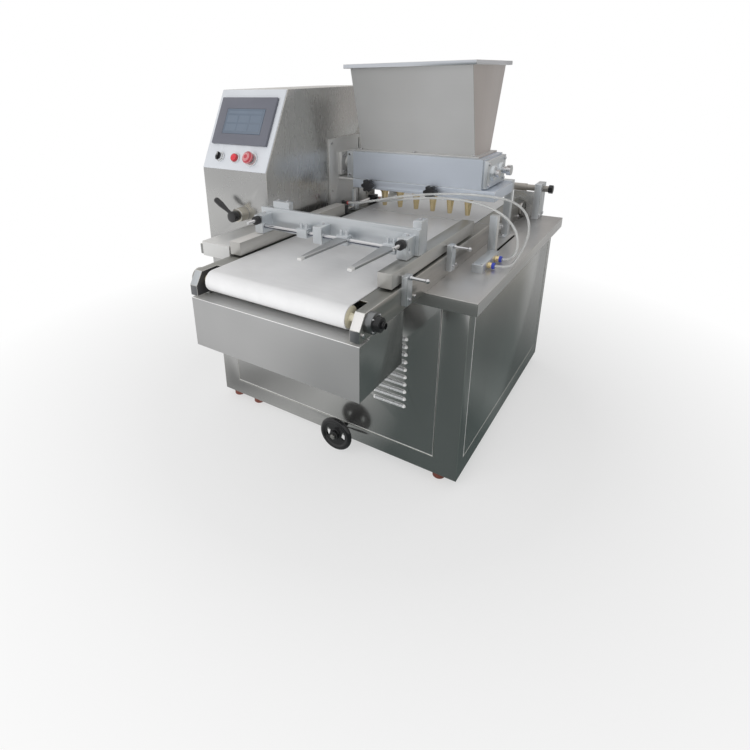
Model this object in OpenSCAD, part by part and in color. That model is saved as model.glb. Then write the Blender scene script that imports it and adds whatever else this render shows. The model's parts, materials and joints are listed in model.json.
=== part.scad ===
// Cookie depositor: a floor-standing bakery machine that presses dough from a
// hopper through a row of brass nozzles onto a belt and cuts it with a wire.
// Lengths are millimetres. X runs to the right, Y to the back, Z up from the floor.

/* [Base] */
// Width of the base cabinet
base_width = 974; // [950:2:1000]
// Depth of the base cabinet
base_depth = 950; // [940:2:970]
// Height of the base from the feet to the table lip
base_height = 577; // [565:1:590]
// Height of the feet
foot_height = 32; // [28:1:36]
// Radius of a foot
foot_radius = 20; // [16:1:24]
// Inset of the feet from the front and back
foot_inset = 34; // [30:1:44]
// Place of the outer left feet
foot_left = -447; // [-450:1:-430]
// Place of the inner left feet
foot_middle = -342; // [-360:1:-320]
// Place of the right feet
foot_right = 419; // [400:1:440]
// Thickness of the sheet walls
sheet = 3; // [2.5:0.5:4]
// How far the table stands out around the base
table_overhang = 28; // [24:1:32]
// Height of the folded table lip
table_lip = 38; // [34:1:42]
// Thickness of the table sheet
table_sheet = 4; // [3:0.5:5]

/* [Panels] */
// From the side of the base to the front panel
panel_margin = 79; // [70:1:90]
// From the bottom of the base to the panels
panel_low = 60; // [56:1:66]
// From the panels to the table lip
panel_high = 8; // [6:1:14]
// Gap around a panel
panel_gap = 2; // [1.5:0.5:3]
// Width of the seat behind the edge of a panel
panel_seat = 18; // [14:1:22]
// From the front of the base to the side panel
side_margin = 50; // [40:1:60]
// Number of pressed louvres in the front panel
louvre_count = 10; // [6:1:11]
// Length of a louvre
louvre_length = 99; // [90:1:108]
// Distance between louvres
louvre_pitch = 26; // [24:1:28]
// Lowest louvre above the bottom of the base
louvre_low = 207; // [190:1:220]
// Middle of the louvres
louvre_x = 253; // [240:1:265]
// Radius of a louvre hood
louvre_radius = 7; // [6:0.5:8]
// Height of the open slot below a hood
louvre_slot = 3; // [2:0.5:4]
// Wall of a louvre hood
louvre_wall = 1.5; // [1:0.25:2]

/* [Handwheel] */
// Radius to the middle of the rim
wheel_radius = 50; // [46:1:54]
// Radius of the rim
wheel_rim = 10; // [8:0.5:12]
// Thickness of the wheel disc
wheel_disc = 9; // [6:0.5:12]
// Radius of the hub
wheel_hub = 17; // [14:1:20]
// Length of the hub
wheel_hub_length = 34; // [28:1:40]
// Radius of the shaft
wheel_shaft = 7; // [6:0.5:8]
// Place of the wheel across the base
wheel_x = 86; // [70:1:100]
// Height of the wheel above the bottom of the base
wheel_z = 50; // [46:1:52]
// From the front of the base to the wheel disc
wheel_reach = 58; // [50:1:66]
// Inner radius of the two openings
wheel_opening_in = 22; // [20:0.5:24]
// Outer radius of the two openings
wheel_opening_out = 36; // [33:0.5:38]
// Angle that each opening spans
wheel_opening_angle = 55; // [40:5:90]

/* [Conveyor] */
// Middle of the belt from the middle of the base
belt_x = 97; // [90:1:104]
// Width of the belt
belt_width = 446; // [436:1:452]
// Height of the belt above the table
belt_height = 69; // [67:0.5:72]
// Thickness of the belt
belt_thickness = 3; // [2:0.5:4]
// Outer radius of the belt on the rollers
nose_radius = 30; // [28:0.5:32]
// Front roller axis behind the front of the side beams
nose_setback = 42; // [41:1:50]
// Rear roller axis in front of the back of the side beams
rear_setback = 40; // [36:1:50]
// Width of a side beam
beam_width = 26; // [24:0.5:28]
// Height of a side beam
beam_height = 66; // [64:0.5:67]
// Gap between the belt edge and a side beam
beam_gap = 22; // [20:0.5:24]
// Front of the side beams in front of the base
beam_reach = 374; // [370:1:380]
// Back of the side beams behind the front of the base
beam_back = 930; // [926:1:936]
// Depth of the cut corner at the front of a side beam
beam_corner = 24; // [20:1:26]
// Height of the cut corner at the front of a side beam
beam_corner_height = 36; // [30:1:37]
// Thickness of the slider bed
bed_thickness = 4; // [3:0.5:5]
// Slider bed to each roller axis
bed_margin = 40; // [36:1:50]
// Radius of the roller shafts
roller_shaft = 10; // [8:0.5:11]
// Radius of a bearing housing
bearing_radius = 26; // [24:0.5:27]
// Length of a bearing housing
bearing_length = 18; // [14:0.5:20]
// Radius of a bearing cap
cap_radius = 18; // [16:0.5:20]
// Length of a bearing cap
cap_length = 15; // [12:0.5:16]
// Length of a flat bearing
flat_length = 9; // [8:0.5:12]

/* [Catch tray] */
// Depth of the tray
tray_depth = 216; // [200:1:230]
// Height of the tray
tray_height = 148; // [140:1:156]
// Gap between the tray and the side beams
tray_gap = 7; // [5:0.5:9]
// Width of the folded edge along the front
tray_fold = 44; // [38:1:48]
// Width of the two hanger strips
hanger_width = 24; // [18:1:28]

/* [Guide rails] */
// Size of the square rail tube
rail_size = 40; // [38:0.5:42]
// Front of the rails in front of the base
rail_reach = 211; // [205:1:220]
// Back of the rails behind the front of the base
rail_back = 354; // [345:1:355]
// Height of the pads below the rails
pad_height = 5; // [4:0.5:6]
// Length of a pad
pad_length = 40; // [34:1:46]
// Right rail inward of the outside of the right beam
rail_inset = 8; // [6:0.5:9]
// Place of the front clamp in front of the base
clamp_front = 161; // [155:1:170]
// Place of the rear clamp behind the front of the base
clamp_rear = 125; // [115:1:135]
// Width of a clamp block
clamp_width = 30; // [26:1:34]
// Thickness of a clamp block
clamp_thickness = 16; // [14:0.5:18]
// Height of a clamp block
clamp_height = 79; // [76:1:80]
// Bottom of a clamp block above the table
clamp_low = 18; // [15:1:20]
// Radius of a clamp pin
pin_radius = 4; // [3:0.5:5]
// Length of a clamp pin outside its block
pin_length = 46; // [40:1:52]
// Radius of the pin head
pin_head = 6; // [5.5:0.5:7]

/* [Side shelf] */
// Width of the shelf
shelf_width = 114; // [106:1:120]
// Height of the shelf
shelf_height = 46; // [40:1:50]
// Bottom of the shelf above the table
shelf_low = 47; // [44:1:50]
// Gap between the shelf and the left beam
shelf_gap = 5; // [4:0.5:8]

/* [Stop bar] */
// Middle of the bar in front of the base
bar_reach = 58; // [50:1:64]
// Thickness of the bar
bar_thickness = 12; // [10:0.5:14]
// Height of the bar
bar_height = 71; // [66:1:76]
// Gap between the rails and the bar
bar_gap = 2; // [1:0.5:3]
// Width of an end post
post_width = 26; // [24:1:30]
// Depth of an end post
post_depth = 38; // [34:1:42]
// Height of an end post
post_height = 92; // [86:1:98]
// Height of the left end post
left_post_height = 66; // [60:1:70]
// From the left end of the bar to the block behind it
back_block_inset = 39; // [36:1:44]
// Width of the block behind the bar
back_block_width = 62; // [56:1:66]
// Depth of the block behind the bar
back_block_depth = 20; // [16:1:24]
// Width of a shaft block
block_width = 30; // [28:0.5:31]
// From the end of the bar to a shaft block
block_inset = 11; // [8:0.5:11]
// Depth of a shaft block
block_depth = 46; // [42:1:50]
// Height of a shaft block
block_height = 56; // [54:0.5:60]
// Finger shaft in front of the bar
shaft_reach = 32; // [30:0.5:33]
// Finger shaft above the rails
shaft_height = 24; // [22:0.5:25]
// Radius of the finger shaft
shaft_radius = 6; // [5:0.5:6]
// Place of the plain clamp
clamp_a_x = 14; // [5:1:25]
// Place of the left finger
finger_a_x = 151; // [140:1:160]
// Place of the right finger
finger_b_x = 296; // [290:1:298]
// Width of a finger clamp
grip_width = 36; // [32:1:38]
// Depth and height of a finger clamp
grip_size = 26; // [24:0.5:28]
// Length of a finger
finger_length = 176; // [160:1:186]
// Width of a finger at the clamp
finger_wide = 38; // [34:1:40]
// Width of a finger at the tip
finger_narrow = 13; // [11:0.5:16]
// Thickness of a finger
finger_thickness = 7; // [6:0.5:9]
// Length of a finger tip
tip_length = 14; // [12:1:18]
// Radius of the clamp bolts
grip_bolt = 4.5; // [4:0.5:5]
// Height of the clamp bolts
grip_bolt_height = 14; // [10:0.5:15]
// Place of the middle shaft support
bracket_x = 70; // [66:1:76]
// Width of the middle shaft support
bracket_width = 30; // [28:1:36]
// Height of the middle shaft support
bracket_height = 50; // [46:1:56]
// Radius of an adjuster screw
adjuster_radius = 5; // [4:0.5:5]
// Length of an adjuster screw in front of its block
adjuster_length = 46; // [40:1:56]
// Adjuster screw above the finger shaft
adjuster_rise = 20; // [19:0.5:22]
// Radius of the adjuster knob
adjuster_knob = 13; // [11:0.5:14]
// Length of the adjuster knob
adjuster_knob_length = 15; // [12:0.5:18]

/* [Control cabinet] */
// Width of the control cabinet
cab_width = 285; // [275:1:290]
// Depth of the control cabinet
cab_depth = 700; // [660:1:740]
// Height of the upright front
cab_front = 270; // [262:1:278]
// Depth of the sloped front
slope_depth = 131; // [124:1:138]
// Height of the sloped front
slope_height = 250; // [244:1:256]
// Thickness of the control panel
panel_thickness = 3; // [2:0.5:4]
// Inset of the control panel from the sides of the slope
panel_inset = 2; // [1:0.5:4]
// Width of the touch screen
screen_width = 242; // [230:1:250]
// Height of the touch screen
screen_height = 162; // [154:1:166]
// Bottom of the touch screen on the slope
screen_low = 87; // [82:1:92]
// Thickness of the touch screen
screen_thickness = 10; // [8:0.5:12]
// Width of the display
display_width = 170; // [160:1:178]
// Height of the display
display_height = 88; // [82:1:94]
// Bottom of the display on the slope
display_low = 122; // [118:1:126]
// Depth of the display below the frame of the touch screen
display_depth = 1.5; // [1:0.5:2]
// Switch row up the slope
switch_row = 42; // [40:1:46]
// Distance between switches
switch_pitch = 70; // [66:1:74]
// Radius of the switch holes
switch_hole = 11; // [10:0.5:11.5]
// Radius of the switch stems
switch_stem = 10; // [9:0.5:10]
// Length of the stems below the panel
stem_length = 16; // [12:1:20]
// Outer radius of a switch collar
collar_radius = 17; // [16:0.5:18]
// Outer radius of the collar of the stop button
stop_collar = 24; // [22:0.5:26]
// Height of a switch collar
collar_height = 6; // [5:0.5:7]
// Radius of a switch cap
cap_switch = 13; // [12:0.5:13.5]
// Height of a switch cap
cap_height = 13; // [12:0.5:15]
// Travel of the push button
press_travel = 4; // [3:0.5:4.5]
// Radius of the stop button
stop_radius = 20; // [18:0.5:22]
// Height of the stop button
stop_height = 14; // [12:0.5:16]
// Travel of the stop button
stop_travel = 5; // [4:0.5:6]
// Room between the pressed stop button and its collar
stop_rise = 6; // [4:0.5:8]

/* [Hand lever] */
// Place of the lever from the middle of the base
lever_x = -310; // [-320:1:-300]
// Height of the lever above the table
lever_height = 131; // [126:1:136]
// Radius of the boss
boss_radius = 23; // [20:0.5:25]
// Length of the boss
boss_length = 36; // [32:1:40]
// Radius of the lever shaft
lever_shaft = 9; // [8:0.5:10]
// Radius of the lever hub
lever_hub = 18; // [16:0.5:20]
// Length of the lever hub
lever_hub_length = 26; // [22:1:30]
// Length from the hub axis to the end of the grip
lever_length = 96; // [88:1:104]
// Radius of the grip
grip_radius = 10; // [8:0.5:11]
// Radius of the neck of the grip
neck_radius = 6; // [5:0.5:7]
// Slope of the grip above level
lever_angle = 32; // [25:1:40]

/* [Head] */
// Left end of the head block
head_left = -130; // [-134:1:-128]
// Length of the head block
head_length = 487; // [480:1:490]
// Front of the head block behind the front of the base
head_front = 405; // [400:1:410]
// Depth of the head block
head_depth = 195; // [192:1:198]
// Bottom of the head block above the table
head_low = 199; // [196:1:204]
// Height of the head block
head_height = 99; // [97:0.5:102]
// Front feed roller behind the front of the head block
feed_front = 57; // [56:0.5:58]
// Distance between the feed rollers
feed_pitch = 80; // [79.5:0.25:80.5]
// Radius of a feed roller
feed_radius = 38.5; // [38:0.25:39]
// Number of grooves in a feed roller
feed_grooves = 18; // [12:2:20]
// Radius of a groove
groove_radius = 4.5; // [3.5:0.5:5]
// Room around a feed roller
feed_room = 1; // [0.5:0.25:1.25]
// End wall of the head block
head_wall = 14; // [12:0.5:16]
// Radius of the feed roller shafts
feed_shaft = 12; // [10:0.5:13]
// Inner width of the dough passages
throat_width = 44; // [40:1:48]
// Thickness of the gear case
case_thickness = 25; // [23:0.5:27]
// Depth of the gear pocket
case_pocket = 17; // [16:0.5:18]
// Thickness of a gear
gear_thickness = 14; // [12:0.5:15]
// Number of gear teeth
gear_teeth = 16; // [14:2:18]
// Height of a gear tooth above the pitch circle
tooth_rise = 4.5; // [4:0.25:4.75]
// Depth of a gear tooth below the pitch circle
tooth_fall = 6; // [5.5:0.25:6.5]
// Width of a gear tooth at its tip
tooth_tip = 2.6; // [2:0.1:3]
// Width of a gear tooth at its root
tooth_root = 8.6; // [8:0.1:9]
// Thickness of the right end plate
end_thickness = 15; // [12:0.5:18]
// Inset of the right end plate
end_inset = 5; // [4:0.5:8]
// Radius of a bearing cover
cover_radius = 25; // [22:0.5:28]
// Length of a bearing cover
cover_length = 9; // [7:0.5:11]
// Length of the front shaft end
shaft_end = 14; // [12:0.5:16]
// Radius of the knob on the rear shaft
feed_knob = 17; // [15:0.5:19]
// Length of the knob on the rear shaft
feed_knob_length = 14; // [12:0.5:16]

/* [Drive plate] */
// Thickness of the drive plate
drive_thickness = 6; // [5:0.5:7]
// Front of the drive plate behind the front of the base
drive_front = 350; // [345:1:358]
// Depth of the drive plate
drive_depth = 262; // [255:1:270]
// Height of the drive plate above the table
drive_height = 343; // [335:1:350]
// Width of the slot in the drive plate
drive_slot = 8; // [6:0.5:10]
// From the front of the drive plate to the slot
drive_slot_y = 202; // [195:1:205]
// Bottom of the slot above the table
drive_slot_low = 50; // [40:1:60]
// Top of the slot below the top of the drive plate
drive_slot_high = 14; // [10:1:18]
// Width of the shaft flange
flange_width = 100; // [94:1:106]
// Height of the shaft flange
flange_height = 84; // [78:1:90]
// Thickness of the shaft flange
flange_thickness = 12; // [10:0.5:14]
// Radius of the flange sleeve
sleeve_radius = 25; // [22:0.5:28]
// Length of the flange sleeve
sleeve_length = 8; // [6:0.5:10]
// Radius of the drive shaft
drive_shaft_radius = 15; // [13.5:0.5:16]
// Drive shaft inside the cabinet
drive_shaft_in = 24; // [18:1:30]
// Thickness of the shelf under the head
bracket_thickness = 8; // [6:0.5:10]

/* [Nozzles] */
// Height of the nozzle plate
plate_height = 34; // [30:0.5:36]
// Nozzle plate beyond the right end of the head block
plate_reach = 46; // [42:1:48]
// Number of nozzles
nozzle_count = 6; // [4:1:6]
// Distance between nozzles
nozzle_pitch = 66; // [62:0.5:67]
// First nozzle from the left end of the head block
nozzle_first = 84; // [80:1:88]
// Length of a nozzle
nozzle_length = 78; // [74:0.5:80]
// Length of the round nozzle head
nozzle_head = 24; // [20:0.5:28]
// Radius of the nozzle head
nozzle_head_radius = 17; // [15:0.5:19]
// Radius below the nozzle head
nozzle_neck_radius = 14; // [12:0.5:15]
// Radius of the nozzle tip
nozzle_tip_radius = 8; // [7:0.5:9]
// Radius of the dough bore
nozzle_bore = 5.5; // [5:0.25:6]
// Depth of the dough channel in the plate
channel_depth = 12; // [10:0.5:14]
// Place of the left clamp knob from the left end of the head block
knob_a = 77; // [70:1:84]
// Place of the right clamp knob from the left end of the head block
knob_b = 321; // [314:1:328]
// Radius of a clamp knob
knob_radius = 17; // [15:0.5:18]
// Radius of a knob lobe
lobe_radius = 6; // [5:0.5:7]
// Number of knob lobes
lobe_count = 6; // [5:1:7]
// Length of a clamp knob
knob_length = 20; // [16:0.5:24]
// Length of the neck of a clamp knob
knob_neck = 12; // [10:0.5:14]
// Radius of the stud of a clamp knob
stud_radius = 5; // [4:0.5:6]
// Length of the stud in the nozzle plate
stud_length = 20; // [16:0.5:24]

/* [Hopper] */
// Left wall of the hopper from the left end of the head block
hopper_left = 25; // [22:1:28]
// Width of the hopper
hopper_width = 425; // [418:1:432]
// Height of the hopper
hopper_height = 293; // [280:1:300]
// Front wall at the bottom behind the front of the head block
hopper_low_front = 24; // [22:0.5:27]
// Depth at the bottom
hopper_low_depth = 150; // [146:1:152]
// Overhang of the front wall at the top
hopper_front_lean = 82; // [75:1:90]
// Overhang of the back wall at the top
hopper_back_lean = 92; // [84:1:100]
// Width of the rim
rim_width = 16; // [14:1:20]
// Height of the rim
rim_height = 13; // [10:0.5:14]
// Width of the bottom flange
foot_flange = 18; // [16:0.5:20]
// Height of the bottom flange
foot_flange_height = 6; // [5:0.5:8]
// Size of the bolt heads
bolt_radius = 6; // [5:0.5:7]
// Height of the bolt heads
bolt_height = 5; // [4:0.5:6]

/* [Head support] */
// Size of the square beam behind the head
support_size = 30; // [28:0.5:32]
// Beam above the bottom of the nozzle plate
support_rise = 8; // [6:0.5:10]
// Right end of the beam beyond the head block
support_reach = 44; // [42:1:45]
// Width of the leg
leg_width = 24; // [22:0.5:25]
// Thickness of the foot plate of the leg
leg_foot = 6; // [5:0.5:8]
// Foot plate in front of and behind the leg
leg_foot_reach = 24; // [18:1:30]

/* [Wire cutter] */
// Travel of the wire
wire_travel = 110; // [100:1:112]
// Wire behind the front of the base
wire_y = 450; // [444:1:455]
// Wire above the belt
wire_height = 10; // [8:0.5:11]
// Radius of the wire
wire_radius = 0.8; // [0.6:0.1:1]
// Right post from the outside of the right beam
post_gap = 39; // [37:0.5:41]
// Size of the right post
post_size = 25; // [23:0.5:26]
// Front of the right post behind the front of the base
post_front = 360; // [358:1:364]
// Height of the right post
post_rise = 133; // [126:1:136]
// Thickness of the guide blade
blade = 6; // [5:0.5:7]
// Depth of the guide blade below the table
blade_depth = 14; // [12:1:18]
// Width of the table slot
slot_width = 8; // [7.5:0.25:9]
// Room at the ends of the table slot
slot_room = 12; // [8:1:16]
// Table slot behind the travel of the right post
slot_tail = 130; // [120:1:140]
// Size of the arm that holds the wire
arm_size = 14; // [12:0.5:16]
// Width of the right air cylinder
air_width = 34; // [32:0.5:36]
// Height of the right air cylinder
air_height = 25; // [23:0.5:27]
// Length of the right air cylinder
air_length = 164; // [158:1:166]
// End wall of the right air cylinder
air_wall = 6; // [5:0.5:8]
// Front of the right air cylinder behind the front of the base
air_front = 188; // [185:1:190]
// Air cylinder right of the right post
air_shift = 10; // [9.5:0.5:12]
// Radius of the piston rod
piston_radius = 5; // [4:0.5:5]
// Piston rod from the side of the air cylinder
piston_inset = 10; // [9:0.5:12]
// Radius of the left air cylinder
barrel_radius = 9; // [8:0.5:9.5]
// Left air cylinder above the left beam
barrel_rise = 17; // [16:0.5:18]
// Size of the cylinder caps
end_cap = 30; // [29:0.5:32]
// Length of a cylinder cap
end_cap_length = 28; // [25:0.5:30]
// Front of the left air cylinder behind the rails
barrel_gap = 4; // [3:0.5:6]
// Length of the left air cylinder with its caps
barrel_length = 257; // [252:1:262]
// Width of the left slider
slider_width = 30; // [28:1:32]
// Gap between the slider and the left beam
slider_gap = 2; // [1:0.5:2.5]
// Height of the thin left post
thin_post_height = 51; // [44:1:56]
// Size of the thin left post
thin_post = 12; // [10:0.5:14]

/* [Air fittings] */
// Front fitting from the front of the right air cylinder
fitting_a = 52; // [48:1:56]
// Rear fitting from the front of the right air cylinder
fitting_b = 122; // [116:1:128]
// Radius of a fitting
fitting_radius = 9; // [8:0.5:10]
// Length of a fitting
fitting_length = 12; // [10:0.5:14]
// Radius of a fitting collar
ring_radius = 10; // [9:0.5:11]
// Length of a fitting collar
ring_length = 8; // [6:0.5:10]
// Radius of the left fittings
elbow_radius = 6; // [5.5:0.5:7]
// Radius of the arm of the left elbow
elbow_arm = 5; // [4:0.5:5]
// Height of the left elbow
elbow_height = 20; // [18:0.5:24]
// Length of the left fittings
elbow_length = 14; // [12:0.5:16]
// Radius of the hoses
hose_radius = 4; // [3:0.5:4.5]
// Length that the hose routes are counted in
route_unit = 1; // [0.98:0.01:1]

/* [Rear shaft] */
// Rear shaft behind the front of the base
rear_shaft_y = 936; // [932:1:938]
// Rear shaft above the table
rear_shaft_height = 118; // [112:1:124]
// Radius of the rear shaft
rear_shaft_radius = 12; // [10:0.5:14]
// Right bracket from the right side of the base
rear_bracket_right = 51; // [48:1:56]
// Left bracket from the cabinet side
rear_bracket_left = 10; // [8:0.5:12]
// Thickness of a rear bracket
rear_bracket_thickness = 26; // [24:0.5:28]
// Depth of a rear bracket
rear_bracket_depth = 76; // [70:1:80]
// Height of a rear bracket above the shaft
rear_bracket_rise = 22; // [20:0.5:26]
// Rear shaft beyond the right bracket
rear_shaft_end = 20; // [16:1:24]
// Radius of the nut
rear_nut_radius = 17; // [15:0.5:18]
// Length of the nut
rear_nut_length = 16; // [14:0.5:18]
// Radius of the shaft collar
rear_collar_radius = 15; // [14:0.5:17]
// Length of the shaft collar
rear_collar_length = 72; // [64:1:80]
// From the right bracket to the shaft collar
rear_collar_gap = 38; // [30:1:46]
// Gap around the belt and the shaft at the rear guards
guard_gap = 3; // [2:0.5:4]

/* [Fits] */
// Radial clearance of turning and sliding fits
fit = 0.05; // [0.02:0.01:0.08]
// Clearance between parts that move past each other
clear = 0.5; // [0.4:0.1:0.8]
// Overrun of cuts
overrun = 1; // [0.5:0.5:2]

/* [Hidden] */
$fn = 48;
hex = 6;

steel = [0.72, 0.72, 0.7];
bright = [0.85, 0.86, 0.88];
alloy = [0.78, 0.8, 0.82];
dark = [0.08, 0.08, 0.09];
brass = [0.8, 0.6, 0.25];
white = [0.93, 0.93, 0.92];
red = [0.75, 0.08, 0.06];
rubber = [0.42, 0.16, 0.1];
blue = [0.1, 0.2, 0.75];

// Levels above the floor
z_base = foot_height;
z_lip = z_base + base_height;
z_table = z_lip + table_lip;
z_belt = z_table + belt_height;
z_roller = z_belt - nose_radius;
z_beam = z_table + beam_height;
z_rail = z_beam + pad_height;
z_rail_top = z_rail + rail_size;
z_panel_low = z_base + panel_low;
z_panel_high = z_lip - panel_high;

// The middle of the whole outline in Y becomes the origin
y_mid = (base_depth + table_overhang - beam_reach) / 2;

// Base
base_half = base_width / 2;
front_half = base_half - panel_margin;
wheel_front = -wheel_reach;

// Conveyor
belt_half = belt_width / 2;
beam_inner = belt_half + beam_gap;
beam_outer = beam_inner + beam_width;
right_face = belt_x + beam_outer;
left_face = belt_x - beam_outer;
inner_radius = nose_radius - belt_thickness;
nose_reach = beam_reach - nose_setback;
rear_roller_y = beam_back - rear_setback;
roller_radius = inner_radius - fit;

// Rails and stop bar
rail_right = right_face - rail_inset - rail_size;
rail_left = left_face;
bar_front = -bar_reach - bar_thickness / 2;
bar_back = bar_front + bar_thickness;
bar_left = rail_left + post_width;
bar_right = rail_right + rail_size - post_width;
shaft_y = bar_front - shaft_reach;
shaft_z = z_rail_top + shaft_height;
block_front = bar_front - block_depth;
block_left = rail_left + block_inset;
block_right = rail_right + rail_size - block_inset - block_width;
clamp_high = z_table + clamp_low + clamp_height;
pin_z = z_rail + rail_size / 2;

// Control cabinet
cab_left = -base_half;
cab_right = cab_left + cab_width;
slope_angle = atan2(slope_height, slope_depth);
slope_length = sqrt(slope_height * slope_height + slope_depth * slope_depth);
slope_z = z_table + cab_front;
cab_top = slope_z + slope_height;
panel_mid = cab_left + cab_width / 2;
lever_z = z_table + lever_height;

// Head
head_right = head_left + head_length;
head_back = head_front + head_depth;
z_head = z_table + head_low;
z_head_top = z_head + head_height;
feed_a_y = head_front + feed_front;
feed_b_y = feed_a_y + feed_pitch;
feed_z = z_head + head_height / 2;
feed_mid_y = (feed_a_y + feed_b_y) / 2;
case_left = head_left - case_thickness;
gear_left = head_left - case_pocket + clear;
gear_right = gear_left + gear_thickness;
gear_pitch_radius = feed_pitch / 2;
gear_step = 360 / gear_teeth;
feed_left = head_left + head_wall + clear;
feed_right = head_right - head_wall - clear;
end_right = head_right + end_thickness;
drive_right = cab_right + drive_thickness;
z_plate = z_head - plate_height;
plate_right = head_right + plate_reach;
nozzle_x = head_left + nozzle_first;
knob_z = z_plate + plate_height / 2;
hopper_x = head_left + hopper_left;
hopper_y = head_front + hopper_low_front;
z_hopper_top = z_head_top + hopper_height;

// Wire cutter
wire_z = z_belt + wire_height;
post_x = right_face + post_gap;
air_x = post_x + air_shift;
air_back = air_front + air_length;
piston_x = air_x + piston_inset;
piston_z = z_table + air_height / 2;
slot_x = post_x + post_size / 2 - slot_width / 2;
slot_front = post_front - slot_room;
slot_back = post_front + post_size + wire_travel + slot_room + slot_tail;
barrel_x = rail_left + rail_size / 2;
barrel_z = z_beam + barrel_rise;
barrel_front = rail_back + barrel_gap;
barrel_back = barrel_front + barrel_length;
cap_top = z_beam + end_cap + slider_gap;
slider_inner = barrel_x + end_cap / 2;
fitting_x = air_x + air_width;
ring_x = fitting_x + fitting_length;
hose_x = ring_x + ring_length;
elbow_z = cap_top + elbow_height - elbow_radius;
elbow_x = barrel_x + elbow_length + elbow_radius;
port_x = slider_inner + elbow_length;
port_y = barrel_back - end_cap_length / 2;
elbow_y = barrel_front + end_cap_length / 2;

// Rear shaft
rear_z = z_table + rear_shaft_height;
rear_right_x = base_half - rear_bracket_right - rear_bracket_thickness;
rear_left_x = cab_right - rear_bracket_left - rear_bracket_thickness;
rear_end_x = rear_right_x + rear_bracket_thickness + rear_shaft_end;

// Hose routes: each starts at a right fitting and ends at a left one
hose_outer_middle = [
  [486, 242, 659.5], [499, 250, 659.5], [507, 262, 659.5], [511, 277, 659.5], [511, 310, 660],
  [510, 345, 664], [510, 380, 672], [511, 415, 686], [510, 447, 709], [504, 470, 740],
  [489, 474, 774], [466, 456, 803], [436, 420, 824], [400, 388, 834], [355, 373, 838],
  [300, 368, 837], [240, 362, 832], [180, 356, 825], [120, 353, 815], [60, 351, 802],
  [0, 353, 786], [-55, 360, 772], [-100, 370, 761]
];
hose_outer_route = concat(
  [[hose_x, air_front + fitting_a, piston_z]],
  [for (p = hose_outer_middle) p * route_unit],
  [[elbow_x, elbow_y, elbow_z]]);
hose_inner_middle = [
  [485, 311, 661], [498, 313, 668], [507, 316, 680], [511, 320, 697], [509, 326, 722],
  [499, 332, 749], [478, 338, 774], [446, 342, 796], [405, 344, 811], [360, 344, 820],
  [310, 342, 824], [255, 341, 823], [200, 343, 818], [145, 349, 809], [95, 360, 798],
  [50, 376, 787], [8, 398, 775], [-30, 428, 764], [-60, 462, 754], [-76, 496, 747],
  [-79, 525, 742], [-79, 552, 738], [-84, 577, 734], [-100, 594, 731]
];
hose_inner_route = concat(
  [[hose_x, air_front + fitting_b, piston_z]],
  [for (p = hose_inner_middle) p * route_unit],
  [[port_x, port_y, barrel_z]]);
hose_sides = 10;
hose_steps = 3;

// Boxes and rods used by many pieces

module placed() {
  translate([0, -y_mid, 0]) children();
}

module box(a, b) {
  translate(a) cube(b - a);
}

module rod_x(r, x1, x2, y, z) {
  translate([x1, y, z]) rotate([0, 90, 0]) cylinder(r = r, h = x2 - x1);
}

module rod_y(r, x, y1, y2, z) {
  translate([x, y2, z]) rotate([90, 0, 0]) cylinder(r = r, h = y2 - y1);
}

module rod_z(r, x, y, z1, z2) {
  translate([x, y, z1]) cylinder(r = r, h = z2 - z1);
}

// A side view drawn in Y and Z, stretched from x1 to x2
module side_view(x1, x2) {
  translate([x1, 0, 0]) rotate([90, 0, 90]) linear_extrude(height = x2 - x1) children();
}

// Puts its children on the sloped front: X across, Y up the slope, Z out of it
module on_slope() {
  translate([0, 0, slope_z]) rotate([slope_angle, 0, 0]) children();
}

// A hexagonal bolt head that stands up along Z
module bolt_head() {
  cylinder(r = bolt_radius, h = bolt_height, $fn = hex);
}

// Base pieces

module base_cabinet() color(steel) placed() {
  difference() {
    box([-base_half, 0, z_base], [base_half, base_depth, z_table - table_sheet]);
    box([-base_half + sheet, sheet, z_base + sheet],
        [base_half - sheet, base_depth - sheet, z_table + overrun]);
    box([-front_half, -overrun, z_panel_low], [front_half, sheet + overrun, z_panel_high]);
    box([base_half - sheet - overrun, side_margin, z_panel_low],
        [base_half + overrun, base_depth - side_margin, z_panel_high]);
    rod_y(wheel_shaft + fit, wheel_x, -overrun, sheet + overrun, z_base + wheel_z);
  }
  difference() {
    box([-front_half - panel_seat, sheet, z_panel_low - panel_seat / 2],
        [front_half + panel_seat, 2 * sheet, z_panel_high + panel_seat / 2]);
    box([-front_half + panel_seat, sheet - overrun, z_panel_low + panel_seat],
        [front_half - panel_seat, 2 * sheet + overrun, z_panel_high - panel_seat]);
    rod_y(wheel_shaft + fit, wheel_x, sheet - overrun, 2 * sheet + overrun, z_base + wheel_z);
  }
  difference() {
    box([base_half - 2 * sheet, side_margin - panel_seat, z_panel_low - panel_seat],
        [base_half - sheet, base_depth - side_margin + panel_seat, z_panel_high + panel_seat]);
    box([base_half - 2 * sheet - overrun, side_margin + panel_seat, z_panel_low + panel_seat],
        [base_half - sheet + overrun, base_depth - side_margin - panel_seat,
         z_panel_high - panel_seat]);
  }
}

// Half of a louvre's outline, from its open lower edge to its top
module louvre_outline(r, depth) {
  intersection() {
    circle(r = r);
    translate([0, -louvre_slot]) square([depth, louvre_slot + 2 * r]);
  }
}

// One pressed louvre: a half-round hood with round ends, open below
module louvre(z) {
  translate([louvre_x, 0, z]) {
    side_view(-louvre_length / 2, louvre_length / 2)
      mirror([1, 0])
        difference() {
          louvre_outline(louvre_radius, 2 * louvre_radius);
          louvre_outline(louvre_radius - louvre_wall, 2 * louvre_radius);
        }
    for (side = [0, 1])
      mirror([side, 0, 0])
        translate([louvre_length / 2, 0, 0]) rotate([0, 0, -90])
          rotate_extrude(angle = 90) louvre_outline(louvre_radius, 2 * louvre_radius);
  }
}

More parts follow.
